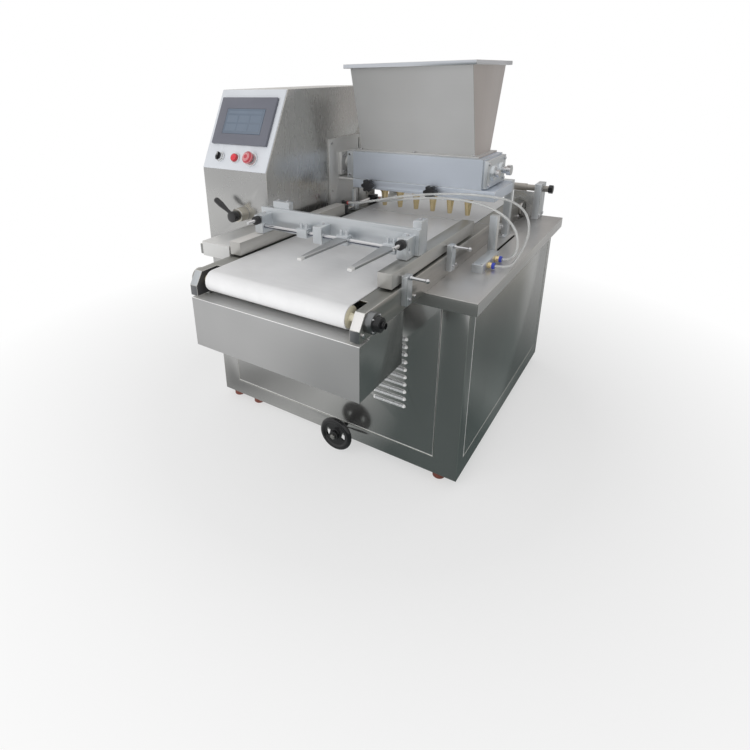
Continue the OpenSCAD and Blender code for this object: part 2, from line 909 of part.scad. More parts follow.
module front_panel() color(steel) placed() {
  difference() {
    box([-front_half + panel_gap, 0, z_panel_low + panel_gap],
        [front_half - panel_gap, sheet, z_panel_high - panel_gap]);
    for (i = [0 : louvre_count - 1])
      translate([louvre_x, 0, z_base + louvre_low + i * louvre_pitch])
        box([-louvre_length / 2, -overrun, -louvre_slot],
            [louvre_length / 2, sheet + overrun, louvre_slot]);
  }
  for (i = [0 : louvre_count - 1])
    louvre(z_base + louvre_low + i * louvre_pitch);
}

module side_panel() color(steel) placed() {
  box([base_half - sheet, side_margin + panel_gap, z_panel_low + panel_gap],
      [base_half, base_depth - side_margin - panel_gap, z_panel_high - panel_gap]);
}

module feet() color(rubber) placed() {
  for (x = [foot_left, foot_middle, foot_right])
    for (y = [foot_inset, base_depth - foot_inset])
      translate([x, y, 0]) {
        cylinder(r1 = foot_radius - sheet, r2 = foot_radius, h = sheet);
        translate([0, 0, sheet]) cylinder(r = foot_radius, h = foot_height - sheet);
      }
}

module table_top() color(steel) placed() {
  difference() {
    box([-base_half - table_overhang, -table_overhang, z_lip],
        [base_half + table_overhang, base_depth + table_overhang, z_table]);
    box([-base_half - table_overhang + sheet, -table_overhang + sheet, z_lip - overrun],
        [base_half + table_overhang - sheet, base_depth + table_overhang - sheet,
         z_table - table_sheet]);
    box([slot_x, slot_front, z_lip], [slot_x + slot_width, slot_back, z_table + overrun]);
  }
}

module handwheel() color(dark) placed() translate([wheel_x, wheel_front, z_base + wheel_z])
  rotate([90, 0, 0]) {
    rotate_extrude() translate([wheel_radius, 0]) circle(r = wheel_rim);
    difference() {
      translate([0, 0, -wheel_disc / 2]) cylinder(r = wheel_radius, h = wheel_disc);
      for (turn = [0, 180])
        rotate([0, 0, turn - wheel_opening_angle / 2])
          translate([0, 0, -wheel_disc])
            rotate_extrude(angle = wheel_opening_angle)
              translate([wheel_opening_in, 0])
                square([wheel_opening_out - wheel_opening_in, 2 * wheel_disc]);
    }
    translate([0, 0, -wheel_hub_length / 2]) cylinder(r = wheel_hub, h = wheel_hub_length);
    translate([0, 0, -wheel_reach - 2 * panel_seat])
      cylinder(r = wheel_shaft, h = wheel_reach + 2 * panel_seat);
  }

// Conveyor pieces

// Side view of a beam, its upper front corner cut off
module beam_outline(inset) {
  polygon([
    [-beam_reach + inset, z_table + inset],
    [-beam_reach + inset, z_beam - beam_corner_height - inset / 2],
    [-beam_reach + beam_corner + inset / 2, z_beam - inset],
    [beam_back - inset, z_beam - inset],
    [beam_back - inset, z_table + inset]
  ]);
}

module side_beam(x1) {
  difference() {
    side_view(x1, x1 + beam_width) beam_outline(0);
    side_view(x1 + sheet, x1 + beam_width - sheet) beam_outline(sheet);
    for (y = [-nose_reach, rear_roller_y])
      rod_x(roller_shaft + fit, x1 - overrun, x1 + beam_width + overrun, y, z_roller);
  }
}

module conveyor_frame() color(steel) placed() {
  side_beam(left_face);
  side_beam(right_face - beam_width);
  box([belt_x - beam_inner, -nose_reach + bed_margin, z_belt - belt_thickness - bed_thickness],
      [belt_x + beam_inner, rear_roller_y - bed_margin, z_belt - belt_thickness]);
}

module belt_loop(r) {
  for (y = [-nose_reach, rear_roller_y])
    translate([y, z_roller]) circle(r = r);
  translate([-nose_reach, z_roller - r]) square([rear_roller_y + nose_reach, 2 * r]);
}

module belt() color(white) placed() {
  side_view(belt_x - belt_half, belt_x + belt_half)
    difference() {
      belt_loop(nose_radius);
      belt_loop(inner_radius);
    }
}

module roller(y, right_end) {
  rod_x(roller_radius, belt_x - belt_half, belt_x + belt_half, y, z_roller);
  rod_x(roller_shaft, left_face - flat_length + sheet + clear, right_face + right_end - clear,
        y, z_roller);
}

module front_roller() color(brass) placed() roller(-nose_reach, bearing_length);

module rear_roller() color(steel) placed() roller(rear_roller_y, flat_length - sheet);

// A bearing with a cap, drawn along +Z from the outside of a beam
module capped_bearing() {
  difference() {
    union() {
      cylinder(r = bearing_radius, h = bearing_length);
      translate([0, 0, bearing_length]) cylinder(r = cap_radius, h = cap_length);
    }
    translate([0, 0, -overrun])
      cylinder(r = roller_shaft + fit, h = bearing_length + overrun);
  }
}

// A flat bearing, closed on the outside, drawn in the same way
module flat_bearing() {
  difference() {
    cylinder(r = bearing_radius, h = flat_length);
    translate([0, 0, -overrun])
      cylinder(r = roller_shaft + fit, h = flat_length - sheet + overrun);
  }
}

module bearing_housings() color(dark) placed() {
  translate([right_face, -nose_reach, z_roller]) rotate([0, 90, 0]) capped_bearing();
  translate([right_face, rear_roller_y, z_roller]) rotate([0, 90, 0]) flat_bearing();
  for (y = [-nose_reach, rear_roller_y])
    translate([left_face, y, z_roller]) rotate([0, -90, 0]) flat_bearing();
}

module catch_tray() color(steel) placed() {
  difference() {
    box([left_face, -beam_reach, z_table - tray_gap - tray_height],
        [right_face, -beam_reach + tray_depth, z_table - tray_gap]);
    box([left_face + sheet, -beam_reach + sheet, z_table - tray_gap - tray_height + sheet],
        [right_face - sheet, -beam_reach + tray_depth - sheet, z_table]);
  }
  box([left_face, -beam_reach, z_table - tray_gap - sheet],
      [right_face, -beam_reach + tray_fold, z_table - tray_gap]);
  for (x = [left_face, right_face - hanger_width])
    box([x, -beam_reach + tray_fold, z_table - tray_gap - sheet],
        [x + hanger_width, -beam_reach + tray_depth, z_table]);
}

// Guide rails

module rail(x) {
  difference() {
    box([x, -rail_reach, z_rail], [x + rail_size, rail_back, z_rail_top]);
    box([x + sheet, -rail_reach + sheet, z_rail + sheet],
        [x + rail_size - sheet, rail_back - sheet, z_rail_top - sheet]);
  }
  for (y = [-clamp_front, clamp_rear])
    box([x + sheet, y - pad_length / 2, z_beam],
        [x + rail_size - sheet, y + pad_length / 2, z_rail]);
}

module guide_rails() color(steel) placed() {
  rail(rail_left);
  rail(rail_right);
}

module rail_clamps() color(alloy) placed() {
  for (y = [-clamp_front, clamp_rear])
    difference() {
      box([right_face, y - clamp_width / 2, z_table + clamp_low],
          [right_face + clamp_thickness, y + clamp_width / 2, clamp_high]);
      rod_x(pin_radius + fit, right_face - overrun, right_face + clamp_thickness + overrun,
            y, pin_z);
    }
}

module clamp_pin(y) {
  rod_x(pin_radius, right_face - rail_inset + clear, right_face + clamp_thickness + pin_length,
        y, pin_z);
  rod_x(pin_head, right_face + clamp_thickness + clear,
        right_face + clamp_thickness + clear + pin_head, y, pin_z);
  translate([right_face + clamp_thickness + pin_length, y, pin_z]) sphere(r = pin_head);
}

module clamp_pin_front() color(bright) placed() clamp_pin(-clamp_front);

module clamp_pin_rear() color(bright) placed() clamp_pin(clamp_rear);

module side_shelf() color(steel) placed() {
  difference() {
    box([left_face - shelf_gap - shelf_width, -rail_reach, z_table + shelf_low],
        [left_face - shelf_gap, 0, z_table + shelf_low + shelf_height]);
    box([left_face - shelf_gap - shelf_width + sheet, -rail_reach + sheet,
         z_table + shelf_low + sheet],
        [left_face - shelf_gap - sheet, -sheet, z_table + shelf_low + shelf_height - sheet]);
  }
}

// Stop bar with its posts and shaft supports

module stop_bar() color(alloy) placed() {
  box([bar_left - post_width, bar_front, z_rail_top + bar_gap],
      [bar_right + post_width, bar_back, z_rail_top + bar_gap + bar_height]);
  box([bar_left - post_width, bar_back, z_rail_top],
      [bar_left, bar_back + post_depth, z_rail_top + left_post_height]);
  box([bar_right, bar_back, z_rail_top],
      [bar_right + post_width, bar_back + post_depth, z_rail_top + post_height]);
  box([rail_left + back_block_inset, bar_back, z_rail_top + post_height / 2],
      [rail_left + back_block_inset + back_block_width, bar_back + back_block_depth,
       z_rail_top + post_height]);
  for (x = [block_left, block_right])
    difference() {
      box([x, block_front, z_rail_top + bar_gap],
          [x + block_width, bar_front, z_rail_top + bar_gap + block_height]);
      rod_x(shaft_radius + fit, x - overrun, x + block_width + overrun, shaft_y, shaft_z);
      rod_y(adjuster_radius + fit, x + block_width / 2, block_front - overrun,
            bar_front + overrun, shaft_z + adjuster_rise);
    }
  difference() {
    box([bracket_x - bracket_width / 2, block_front, z_rail_top + bar_gap],
        [bracket_x + bracket_width / 2, bar_front, z_rail_top + bar_gap + bracket_height]);
    rod_x(shaft_radius + fit, bracket_x - bracket_width, bracket_x + bracket_width,
          shaft_y, shaft_z);
  }
}

module finger_shaft() color(bright) placed() {
  rod_x(shaft_radius, block_left + sheet, block_right + block_width - sheet, shaft_y, shaft_z);
}

// A split clamp around the finger shaft with two bolts standing on it
module grip(x) {
  difference() {
    box([x - grip_width / 2, shaft_y - grip_size / 2, shaft_z - grip_size / 2],
        [x + grip_width / 2, shaft_y + grip_size / 2, shaft_z + grip_size / 2]);
    rod_x(shaft_radius + fit, x - grip_width, x + grip_width, shaft_y, shaft_z);
  }
  for (side = [-1, 1])
    rod_z(grip_bolt, x + side * grip_width / 4, shaft_y, shaft_z + grip_size / 2,
          shaft_z + grip_size / 2 + grip_bolt_height);
}

module finger_clamps() color(alloy) placed() {
  grip(clamp_a_x);
  grip(finger_a_x);
  grip(finger_b_x);
}

// A tapered flat finger that points to the front
module finger(x) {
  translate([x, shaft_y - grip_size / 2, shaft_z])
    linear_extrude(height = finger_thickness)
      polygon([
        [-finger_wide / 2, 0], [finger_wide / 2, 0],
        [finger_narrow / 2, -finger_length], [-finger_narrow / 2, -finger_length]
      ]);
}

module fingers() color(alloy) placed() {
  finger(finger_a_x);
  finger(finger_b_x);
}

module finger_tips() color(white) placed() {
  for (x = [finger_a_x, finger_b_x])
    box([x - finger_narrow / 2, shaft_y - grip_size / 2 - finger_length - tip_length, shaft_z],
        [x + finger_narrow / 2, shaft_y - grip_size / 2 - finger_length,
         shaft_z + finger_thickness]);
}

module adjuster(x) {
  rod_y(adjuster_radius, x, block_front - adjuster_length, bar_front - clear,
        shaft_z + adjuster_rise);
  rod_y(adjuster_knob, x, block_front - clear - adjuster_knob_length, block_front - clear,
        shaft_z + adjuster_rise);
}

module adjuster_left() color(dark) placed() adjuster(block_left + block_width / 2);

module adjuster_right() color(dark) placed() adjuster(block_right + block_width / 2);

// Control cabinet

module cabinet_outline(inset) {
  polygon([
    [inset, z_table - (inset > 0 ? overrun : 0)],
    [inset, slope_z - inset / 2],
    [slope_depth + inset / 2, cab_top - inset],
    [cab_depth - inset, cab_top - inset],
    [cab_depth - inset, z_table - (inset > 0 ? overrun : 0)]
  ]);
}

module switch_holes(r) {
  for (i = [-1 : 1])
    translate([panel_mid + i * switch_pitch, switch_row, -stem_length])
      cylinder(r = r, h = 2 * stem_length);
}

module control_cabinet() color(steel) placed() {
  difference() {
    side_view(cab_left, cab_right) cabinet_outline(0);
    side_view(cab_left + sheet, cab_right - sheet) cabinet_outline(sheet);
    on_slope() switch_holes(switch_hole);
    rod_y(lever_shaft + fit, lever_x, -overrun, sheet + overrun, lever_z);
    rod_x(drive_shaft_radius + clear, cab_right - sheet - overrun, cab_right + overrun,
          feed_a_y, feed_z);
  }
}

module control_panel() color(white) placed() on_slope() {
  difference() {
    box([cab_left + panel_inset, panel_inset, 0],
        [cab_right - panel_inset, slope_length - panel_inset, panel_thickness]);
    switch_holes(switch_hole);
  }
}

module touch_screen() color(dark) placed() on_slope() {
  difference() {
    box([panel_mid - screen_width / 2, screen_low, panel_thickness],
        [panel_mid + screen_width / 2, screen_low + screen_height,
         panel_thickness + screen_thickness]);
    box([panel_mid - display_width / 2, display_low,
         panel_thickness + screen_thickness - display_depth],
        [panel_mid + display_width / 2, display_low + display_height,
         panel_thickness + screen_thickness + overrun]);
  }
}

module collar(x, r) {
  translate([x, switch_row, panel_thickness])
    difference() {
      cylinder(r = r, h = collar_height);
      translate([0, 0, -overrun])
        cylinder(r = cap_switch + clear, h = collar_height + 2 * overrun);
    }
}

module switch_collars() color(bright) placed() on_slope() {
  for (i = [-1 : 1])
    collar(panel_mid + i * switch_pitch, i == 1 ? stop_collar : collar_radius);
}

module selector() color(dark) placed() on_slope()
  translate([panel_mid - switch_pitch, switch_row, 0]) {
    translate([0, 0, -stem_length + sheet]) cylinder(r = switch_stem, h = stem_length + panel_thickness);
    translate([0, 0, panel_thickness + clear]) cylinder(r = cap_switch, h = cap_height);
    translate([-switch_stem / 3, -cap_switch, panel_thickness + clear + cap_height])
      cube([2 * switch_stem / 3, 2 * cap_switch, cap_height / 2]);
  }

module push_button() color(red) placed() on_slope()
  translate([panel_mid, switch_row, 0]) {
    translate([0, 0, -stem_length + sheet])
      cylinder(r = switch_stem, h = stem_length + panel_thickness + press_travel);
    translate([0, 0, panel_thickness + press_travel + clear])
      cylinder(r = cap_switch, h = cap_height - press_travel);
  }

module stop_button() color(red) placed() on_slope()
  translate([panel_mid + switch_pitch, switch_row, 0]) {
    translate([0, 0, -stem_length + sheet])
      cylinder(r = switch_stem,
               h = stem_length + panel_thickness + collar_height + stop_travel + stop_rise);
    translate([0, 0, panel_thickness + collar_height + stop_travel + stop_rise]) {
      cylinder(r = stop_radius, h = stop_height / 2);
      translate([0, 0, stop_height / 2])
        cylinder(r1 = stop_radius, r2 = cap_switch, h = stop_height / 2);
    }
  }

module lever_boss() color(bright) placed() {
  difference() {
    rod_y(boss_radius, lever_x, -boss_length, 0, lever_z);
    rod_y(lever_shaft + fit, lever_x, -boss_length - overrun, overrun, lever_z);
  }
}

module hand_lever() color(dark) placed() {
  rod_y(lever_shaft, lever_x, -boss_length - clear, sheet + boss_length / 2, lever_z);
  rod_y(lever_hub, lever_x, -boss_length - clear - lever_hub_length, -boss_length - clear, lever_z);
  translate([lever_x, -boss_length - clear - lever_hub_length / 2, lever_z])
    rotate([0, -90 + lever_angle, 0]) {
      cylinder(r = neck_radius, h = lever_length / 2);
      translate([0, 0, lever_length / 3])
        cylinder(r1 = neck_radius, r2 = grip_radius, h = lever_length / 3);
      translate([0, 0, 2 * lever_length / 3])
        cylinder(r = grip_radius, h = lever_length / 3 - grip_radius);
      translate([0, 0, lever_length - grip_radius]) sphere(r = grip_radius);
    }
}

// Drive plate on the cabinet side, with the shaft flange and the shelf for the head

module drive_plate() color(steel) placed() {
  difference() {
    union() {
      box([cab_right, drive_front, z_table],
          [drive_right, drive_front + drive_depth, z_table + drive_height]);
      box([drive_right, feed_a_y - flange_width / 2, feed_z - flange_height / 2],
          [drive_right + flange_thickness, feed_a_y + flange_width / 2,
           feed_z + flange_height / 2]);
      rod_x(sleeve_radius, drive_right, drive_right + flange_thickness + sleeve_length,
            feed_a_y, feed_z);
    }
    rod_x(drive_shaft_radius + fit, cab_right - overrun,
          drive_right + flange_thickness + sleeve_length + overrun, feed_a_y, feed_z);
    box([cab_right - overrun, drive_front + drive_slot_y, z_table + drive_slot_low],
        [drive_right + overrun, drive_front + drive_slot_y + drive_slot,
         z_table + drive_height - drive_slot_high]);
  }
  box([drive_right, head_front, z_head - bracket_thickness],
      [head_left, head_back, z_head]);
}

// One gear with straight tapered teeth, drawn around the Z axis
module gear() {
  linear_extrude(height = gear_thickness) {
    circle(r = gear_pitch_radius - tooth_fall);
    for (i = [0 : gear_teeth - 1])
      rotate(i * gear_step)
        polygon([
          [gear_pitch_radius - 2 * tooth_fall, -tooth_root / 2],
          [gear_pitch_radius - tooth_fall, -tooth_root / 2],
          [gear_pitch_radius + tooth_rise, -tooth_tip / 2],
          [gear_pitch_radius + tooth_rise, tooth_tip / 2],
          [gear_pitch_radius - tooth_fall, tooth_root / 2],
          [gear_pitch_radius - 2 * tooth_fall, tooth_root / 2]
        ]);
  }
}

module drive_shaft() color(bright) placed() {
  rod_x(drive_shaft_radius, cab_right - drive_shaft_in, gear_left, feed_a_y, feed_z);
  translate([gear_left, feed_a_y, feed_z]) rotate([0, 90, 0]) rotate([0, 0, 90]) gear();
}

module driven_gear() color(bright) placed() {
  difference() {
    translate([gear_left, feed_b_y, feed_z]) rotate([0, 90, 0])
      rotate([0, 0, -90 + gear_step / 2]) gear();
    rod_x(feed_shaft + fit, gear_left - overrun, gear_right + overrun, feed_b_y, feed_z);
  }
}

module gear_case() color(alloy) placed() {
  difference() {
    box([case_left, head_front, z_head], [head_left, head_back, z_head_top]);
    for (y = [feed_a_y, feed_b_y])
      rod_x(gear_pitch_radius + tooth_rise + feed_room, head_left - case_pocket,
            head_left + overrun, y, feed_z);
    rod_x(drive_shaft_radius + fit, case_left - overrun, head_left, feed_a_y, feed_z);
  }
}

// Head block: two roller bores, open to the hopper above and the nozzles below

module head_block() color(alloy) placed() {
  difference() {
    box([head_left, head_front, z_head], [head_right, head_back, z_head_top]);
    for (y = [feed_a_y, feed_b_y]) {
      rod_x(feed_radius + feed_room, head_left + head_wall, head_right - head_wall, y, feed_z);
      rod_x(feed_shaft + fit, head_left - overrun, head_right + overrun, y, feed_z);
    }
    box([head_left + 2 * head_wall, feed_mid_y - throat_width, feed_z],
        [head_right - 2 * head_wall, feed_mid_y + throat_width, z_head_top + overrun]);
    box([head_left + 2 * head_wall, feed_mid_y - throat_width / 4, z_head - overrun],
        [head_right - 2 * head_wall, feed_mid_y + throat_width / 4, feed_z]);
  }
}

module end_plate() color(bright) placed() {
  difference() {
    union() {
      box([head_right, head_front + end_inset, z_head + end_inset],
          [end_right, head_back - end_inset, z_head_top - end_inset]);
      for (y = [feed_a_y, feed_b_y])
        rod_x(cover_radius, end_right, end_right + cover_length, y, feed_z);
    }
    for (y = [feed_a_y, feed_b_y])
      rod_x(feed_shaft + fit, head_right - overrun, end_right + cover_length + overrun, y, feed_z);
  }
}

// A roller with grooves along its length, drawn around the Z axis
module grooved_roller() {
  linear_extrude(height = feed_right - feed_left)
    difference() {
      circle(r = feed_radius);
      for (i = [0 : feed_grooves - 1])
        rotate(i * 360 / feed_grooves) translate([feed_radius, 0]) circle(r = groove_radius);
    }
}

module feed_roller(shaft_left, y) {
  translate([feed_left, y, feed_z]) rotate([0, 90, 0]) grooved_roller();
  rod_x(feed_shaft, shaft_left, end_right + cover_length + shaft_end, y, feed_z);
}

module feed_roller_front() color(bright) placed() feed_roller(gear_right, feed_a_y);

module feed_roller_rear() color(bright) placed() {
  feed_roller(gear_left, feed_b_y);
  rod_x(feed_knob, end_right + cover_length + shaft_end,
        end_right + cover_length + shaft_end + feed_knob_length, feed_b_y, feed_z);
}

// Nozzle plate, nozzles and the two knobs that clamp the plate

module nozzle_plate() color(alloy) placed() {
  difference() {
    box([head_left, head_front, z_plate], [plate_right, head_back, z_head]);
    box([nozzle_x - nozzle_head_radius, feed_mid_y - throat_width / 4, z_head - channel_depth],
        [nozzle_x + (nozzle_count - 1) * nozzle_pitch + nozzle_head_radius,
         feed_mid_y + throat_width / 4, z_head + overrun]);
    for (i = [0 : nozzle_count - 1])
      rod_z(nozzle_bore, nozzle_x + i * nozzle_pitch, feed_mid_y, z_plate - overrun, z_head);
    for (x = [head_left + knob_a, head_left + knob_b])
      rod_y(stud_radius + fit, x, head_front - overrun, head_front + stud_length + clear, knob_z);
  }
}

module nozzles() color(brass) placed() {
  for (i = [0 : nozzle_count - 1])
    translate([nozzle_x + i * nozzle_pitch, feed_mid_y, z_plate - nozzle_length])
      difference() {
        union() {
          cylinder(r1 = nozzle_tip_radius, r2 = nozzle_neck_radius, h = nozzle_length - nozzle_head);
          translate([0, 0, nozzle_length - nozzle_head])
            cylinder(r = nozzle_head_radius, h = nozzle_head);
        }
        translate([0, 0, -overrun]) cylinder(r = nozzle_bore, h = nozzle_length + 2 * overrun);
      }
}

module clamp_knob(x) {
  translate([x, head_front - clear, knob_z]) rotate([90, 0, 0]) {
    cylinder(r = 2 * stud_radius, h = knob_neck);
    translate([0, 0, -stud_length]) cylinder(r = stud_radius, h = stud_length);
    translate([0, 0, knob_neck])
      linear_extrude(height = knob_length) {
        circle(r = knob_radius);
        for (i = [0 : lobe_count - 1])
          rotate(i * 360 / lobe_count) translate([knob_radius, 0]) circle(r = lobe_radius);
      }
  }
}

module clamp_knob_left() color(dark) placed() clamp_knob(head_left + knob_a);

module clamp_knob_right() color(dark) placed() clamp_knob(head_left + knob_b);

// Hopper: upright end walls, front and back walls that lean outward

module hopper_outline(inset) {
  polygon([
    [hopper_y + inset, z_head_top - (inset > 0 ? overrun : 0)],
    [hopper_y - hopper_front_lean + inset, z_hopper_top + (inset > 0 ? overrun : 0)],
    [hopper_y + hopper_low_depth + hopper_back_lean - inset,
     z_hopper_top + (inset > 0 ? overrun : 0)],
    [hopper_y + hopper_low_depth - inset, z_head_top - (inset > 0 ? overrun : 0)]
  ]);
}

module hopper() color(steel) placed() {
  difference() {
    union() {
      side_view(hopper_x, hopper_x + hopper_width) hopper_outline(0);
      box([hopper_x - rim_width, hopper_y - hopper_front_lean - rim_width,
           z_hopper_top - rim_height],
          [hopper_x + hopper_width + rim_width,
           hopper_y + hopper_low_depth + hopper_back_lean + rim_width, z_hopper_top]);
      box([hopper_x - foot_flange, hopper_y - foot_flange, z_head_top],
          [hopper_x + hopper_width + foot_flange, hopper_y + hopper_low_depth + foot_flange,
           z_head_top + foot_flange_height]);
    }
    side_view(hopper_x + sheet, hopper_x + hopper_width - sheet) hopper_outline(sheet);
  }
}

module hex_bolts() color(bright) placed() {
  for (x = [hopper_x, hopper_x + hopper_width / 2, hopper_x + hopper_width])
    translate([x, hopper_y - foot_flange / 2, z_head_top + foot_flange_height]) bolt_head();
  for (side_y = [-1, 1])
    for (side_z = [-1, 1])
      translate([drive_right + flange_thickness,
                 feed_a_y + side_y * (flange_width / 2 - 2 * bolt_radius),
                 feed_z + side_z * (flange_height / 2 - 2 * bolt_radius)])
        rotate([0, 90, 0]) bolt_head();
  for (y = [2 * bolt_radius - beam_reach, 2 * clamp_width - clamp_front,
            clamp_rear + 2 * clamp_width, beam_back - 2 * rail_size])
    translate([right_face, y, z_table + beam_height / 4]) rotate([0, 90, 0]) bolt_head();
}

module head_support() color(alloy) placed() {
  difference() {
    box([drive_right, head_back, z_plate + support_rise],
        [head_right + support_reach, head_back + support_size, z_plate + support_rise + support_size]);
    box([drive_right + sheet, head_back + sheet, z_plate + support_rise + sheet],
        [head_right + support_reach - sheet, head_back + support_size - sheet,
         z_plate + support_rise + support_size - sheet]);
  }
  box([head_right + support_reach - leg_width, head_back + sheet, z_table + leg_foot],
      [head_right + support_reach, head_back + support_size - sheet, z_plate + support_rise]);
  box([head_right + support_reach - leg_width, head_back - leg_foot_reach + sheet, z_table],
      [head_right + support_reach, head_back + support_size + leg_foot_reach, z_table + leg_foot]);
}

// Wire cutter

module air_cylinder_right() color(alloy) placed() {
  difference() {
    box([air_x, air_front, z_table], [air_x + air_width, air_back, z_table + air_height]);
    rod_y(piston_radius + fit, piston_x, air_front + air_wall, air_back + overrun, piston_z);
  }
}

module air_cylinder_left() color(bright) placed() {
  rod_y(barrel_radius, barrel_x, barrel_front + end_cap_length, barrel_back - end_cap_length, barrel_z);
}

module cylinder_caps() color(dark) placed() {
  for (y = [barrel_front, barrel_back - end_cap_length])
    box([barrel_x - end_cap / 2, y, z_beam],
        [barrel_x + end_cap / 2, y + end_cap_length, cap_top]);
}

module wire_carriage() color(alloy) placed() {
  box([post_x, post_front, z_table + clear],
      [post_x + post_size, post_front + post_size, z_table + post_rise]);
  box([post_x + post_size / 2 - blade / 2, post_front + sheet, z_table - blade_depth],
      [post_x + post_size / 2 + blade / 2, post_front + post_size - sheet, z_table + clear]);
  box([post_x, post_front + post_size, wire_z - arm_size / 2],
      [post_x + arm_size, wire_y + arm_size / 2, wire_z + arm_size / 2]);
  rod_y(piston_radius, piston_x, air_front + 2 * air_wall, post_front, piston_z);
  difference() {
    box([barrel_x - end_cap / 2, wire_y - slider_width / 2, z_beam + slider_gap],
        [slider_inner, wire_y + slider_width / 2, cap_top]);
    rod_y(barrel_radius + fit, barrel_x, wire_y - slider_width, wire_y + slider_width, barrel_z);
  }
  box([barrel_x - thin_post / 2, wire_y - thin_post / 2, cap_top],
      [barrel_x + thin_post / 2, wire_y + thin_post / 2, cap_top + thin_post_height]);
}

module cutting_wire() color(bright) placed() {
  rod_x(wire_radius, slider_inner, post_x, wire_y, wire_z);
}

// Air fittings and hoses

module air_fittings() color(brass) placed() {
  for (y = [air_front + fitting_a, air_front + fitting_b])
    rod_x(fitting_radius, fitting_x, ring_x, y, piston_z);
  rod_z(elbow_radius, barrel_x, elbow_y, cap_top, cap_top + elbow_height);
  rod_x(elbow_arm, barrel_x, elbow_x, elbow_y, elbow_z);
  rod_x(elbow_radius, slider_inner, port_x, port_y, barrel_z);
}

module fitting_collars() color(blue) placed() {
  for (y = [air_front + fitting_a, air_front + fitting_b])
    rod_x(ring_radius, ring_x, hose_x, y, piston_z);
}

function unit(v) = v / norm(v);

// A point on the smooth curve that four neighbouring route points pull on
function curve_point(a, b, c, d, t) =
  ((1 - t) * (1 - t) * (1 - t) * a + (3 * t * t * t - 6 * t * t + 4) * b
   + (1 + 3 * t + 3 * t * t - 3 * t * t * t) * c + t * t * t * d) / 6;

// The smooth curve along a route, from its first point to its last
function smooth_route(route) =
  let (last = len(route) - 1,
       padded = concat([2 * route[0] - route[1]], route, [2 * route[last] - route[last - 1]]))
  concat(
    [for (i = [0 : last - 1])
      for (k = [0 : hose_steps - 1])
        curve_point(padded[i], padded[i + 1], padded[i + 2], padded[i + 3], k / hose_steps)],
    [route[last]]);

function tangents(points) =
  let (last = len(points) - 1)
  [for (i = [0 : last])
    i == 0 || i == last ? [i == 0 ? 1 : -1, 0, 0] : unit(points[i + 1] - points[i - 1])];

// A sideways direction carried along the route without twisting
function sideways(lines, before, i) =
  i == len(lines) ? []
  : let (now = unit(before - (before * lines[i]) * lines[i]))
    concat([now], sideways(lines, now, i + 1));

module hose(route) {
  points = smooth_route(route);
  lines = tangents(points);
  sides = sideways(lines, [0, 0, 1], 0);
  rings = len(points);
  corners = [
    for (i = [0 : rings - 1])
      for (k = [0 : hose_sides - 1])
        let (turn = k * 360 / hose_sides)
          points[i] + hose_radius * (cos(turn) * sides[i] + sin(turn) * cross(lines[i], sides[i]))
  ];
  walls = [
    for (i = [0 : rings - 2])
      for (k = [0 : hose_sides - 1])
        let (n = (k + 1) % hose_sides)
          [i * hose_sides + k, (i + 1) * hose_sides + k,
           (i + 1) * hose_sides + n, i * hose_sides + n]
  ];
  ends = [
    [for (k = [0 : hose_sides - 1]) k],
    [for (k = [hose_sides - 1 : -1 : 0]) (rings - 1) * hose_sides + k]
  ];
  polyhedron(points = corners, faces = concat(walls, ends));
}

module hose_outer() color(white) placed() hose(hose_outer_route);

module hose_inner() color(white) placed() hose(hose_inner_route);

// Rear shaft

module rear_shaft() color(steel) placed() {
  rod_x(rear_shaft_radius, rear_left_x - rear_shaft_end / 2, rear_end_x, rear_shaft_y, rear_z);
  translate([rear_end_x, rear_shaft_y, rear_z]) rotate([0, 90, 0])
    cylinder(r = rear_nut_radius, h = rear_nut_length, $fn = hex);
  rod_x(rear_collar_radius, rear_right_x - rear_collar_gap - rear_collar_length,
        rear_right_x - rear_collar_gap, rear_shaft_y, rear_z);
}

module rear_brackets() color(alloy) placed() {
  for (x = [rear_left_x, rear_right_x])
    difference() {
      box([x, rear_shaft_y - rear_bracket_depth / 2, z_table],
          [x + rear_bracket_thickness, rear_shaft_y + rear_bracket_depth / 2,
           rear_z + rear_bracket_rise]);
      rod_x(rear_shaft_radius + fit, x - overrun, x + rear_bracket_thickness + overrun,
            rear_shaft_y, rear_z);
    }
}

// Plates that close the back between each bracket and the edge of the belt
module rear_guards() color(steel) placed() {
  box([rear_left_x + rear_bracket_thickness, beam_back, z_table],
      [belt_x - belt_half - guard_gap, beam_back + sheet, rear_z - rear_shaft_radius - guard_gap]);
  box([belt_x + belt_half + guard_gap, beam_back, z_table],
      [rear_right_x, beam_back + sheet, rear_z - rear_shaft_radius - guard_gap]);
}

base_cabinet();
front_panel();
side_panel();
feet();
table_top();
handwheel();
conveyor_frame();
belt();
front_roller();
rear_roller();
bearing_housings();
catch_tray();
guide_rails();
rail_clamps();
clamp_pin_front();
clamp_pin_rear();
side_shelf();
stop_bar();
finger_shaft();
finger_clamps();
fingers();
finger_tips();
adjuster_left();
adjuster_right();
control_cabinet();
control_panel();
touch_screen();
switch_collars();
selector();
push_button();
stop_button();
lever_boss();
hand_lever();
drive_plate();
drive_shaft();
driven_gear();
gear_case();
head_block();
end_plate();
feed_roller_front();
feed_roller_rear();
nozzle_plate();
nozzles();
clamp_knob_left();
clamp_knob_right();
hopper();
hex_bolts();
head_support();
air_cylinder_right();
air_cylinder_left();
cylinder_caps();
wire_carriage();
cutting_wire();
air_fittings();
fitting_collars();
hose_outer();
hose_inner();
rear_shaft();
rear_brackets();
rear_guards();
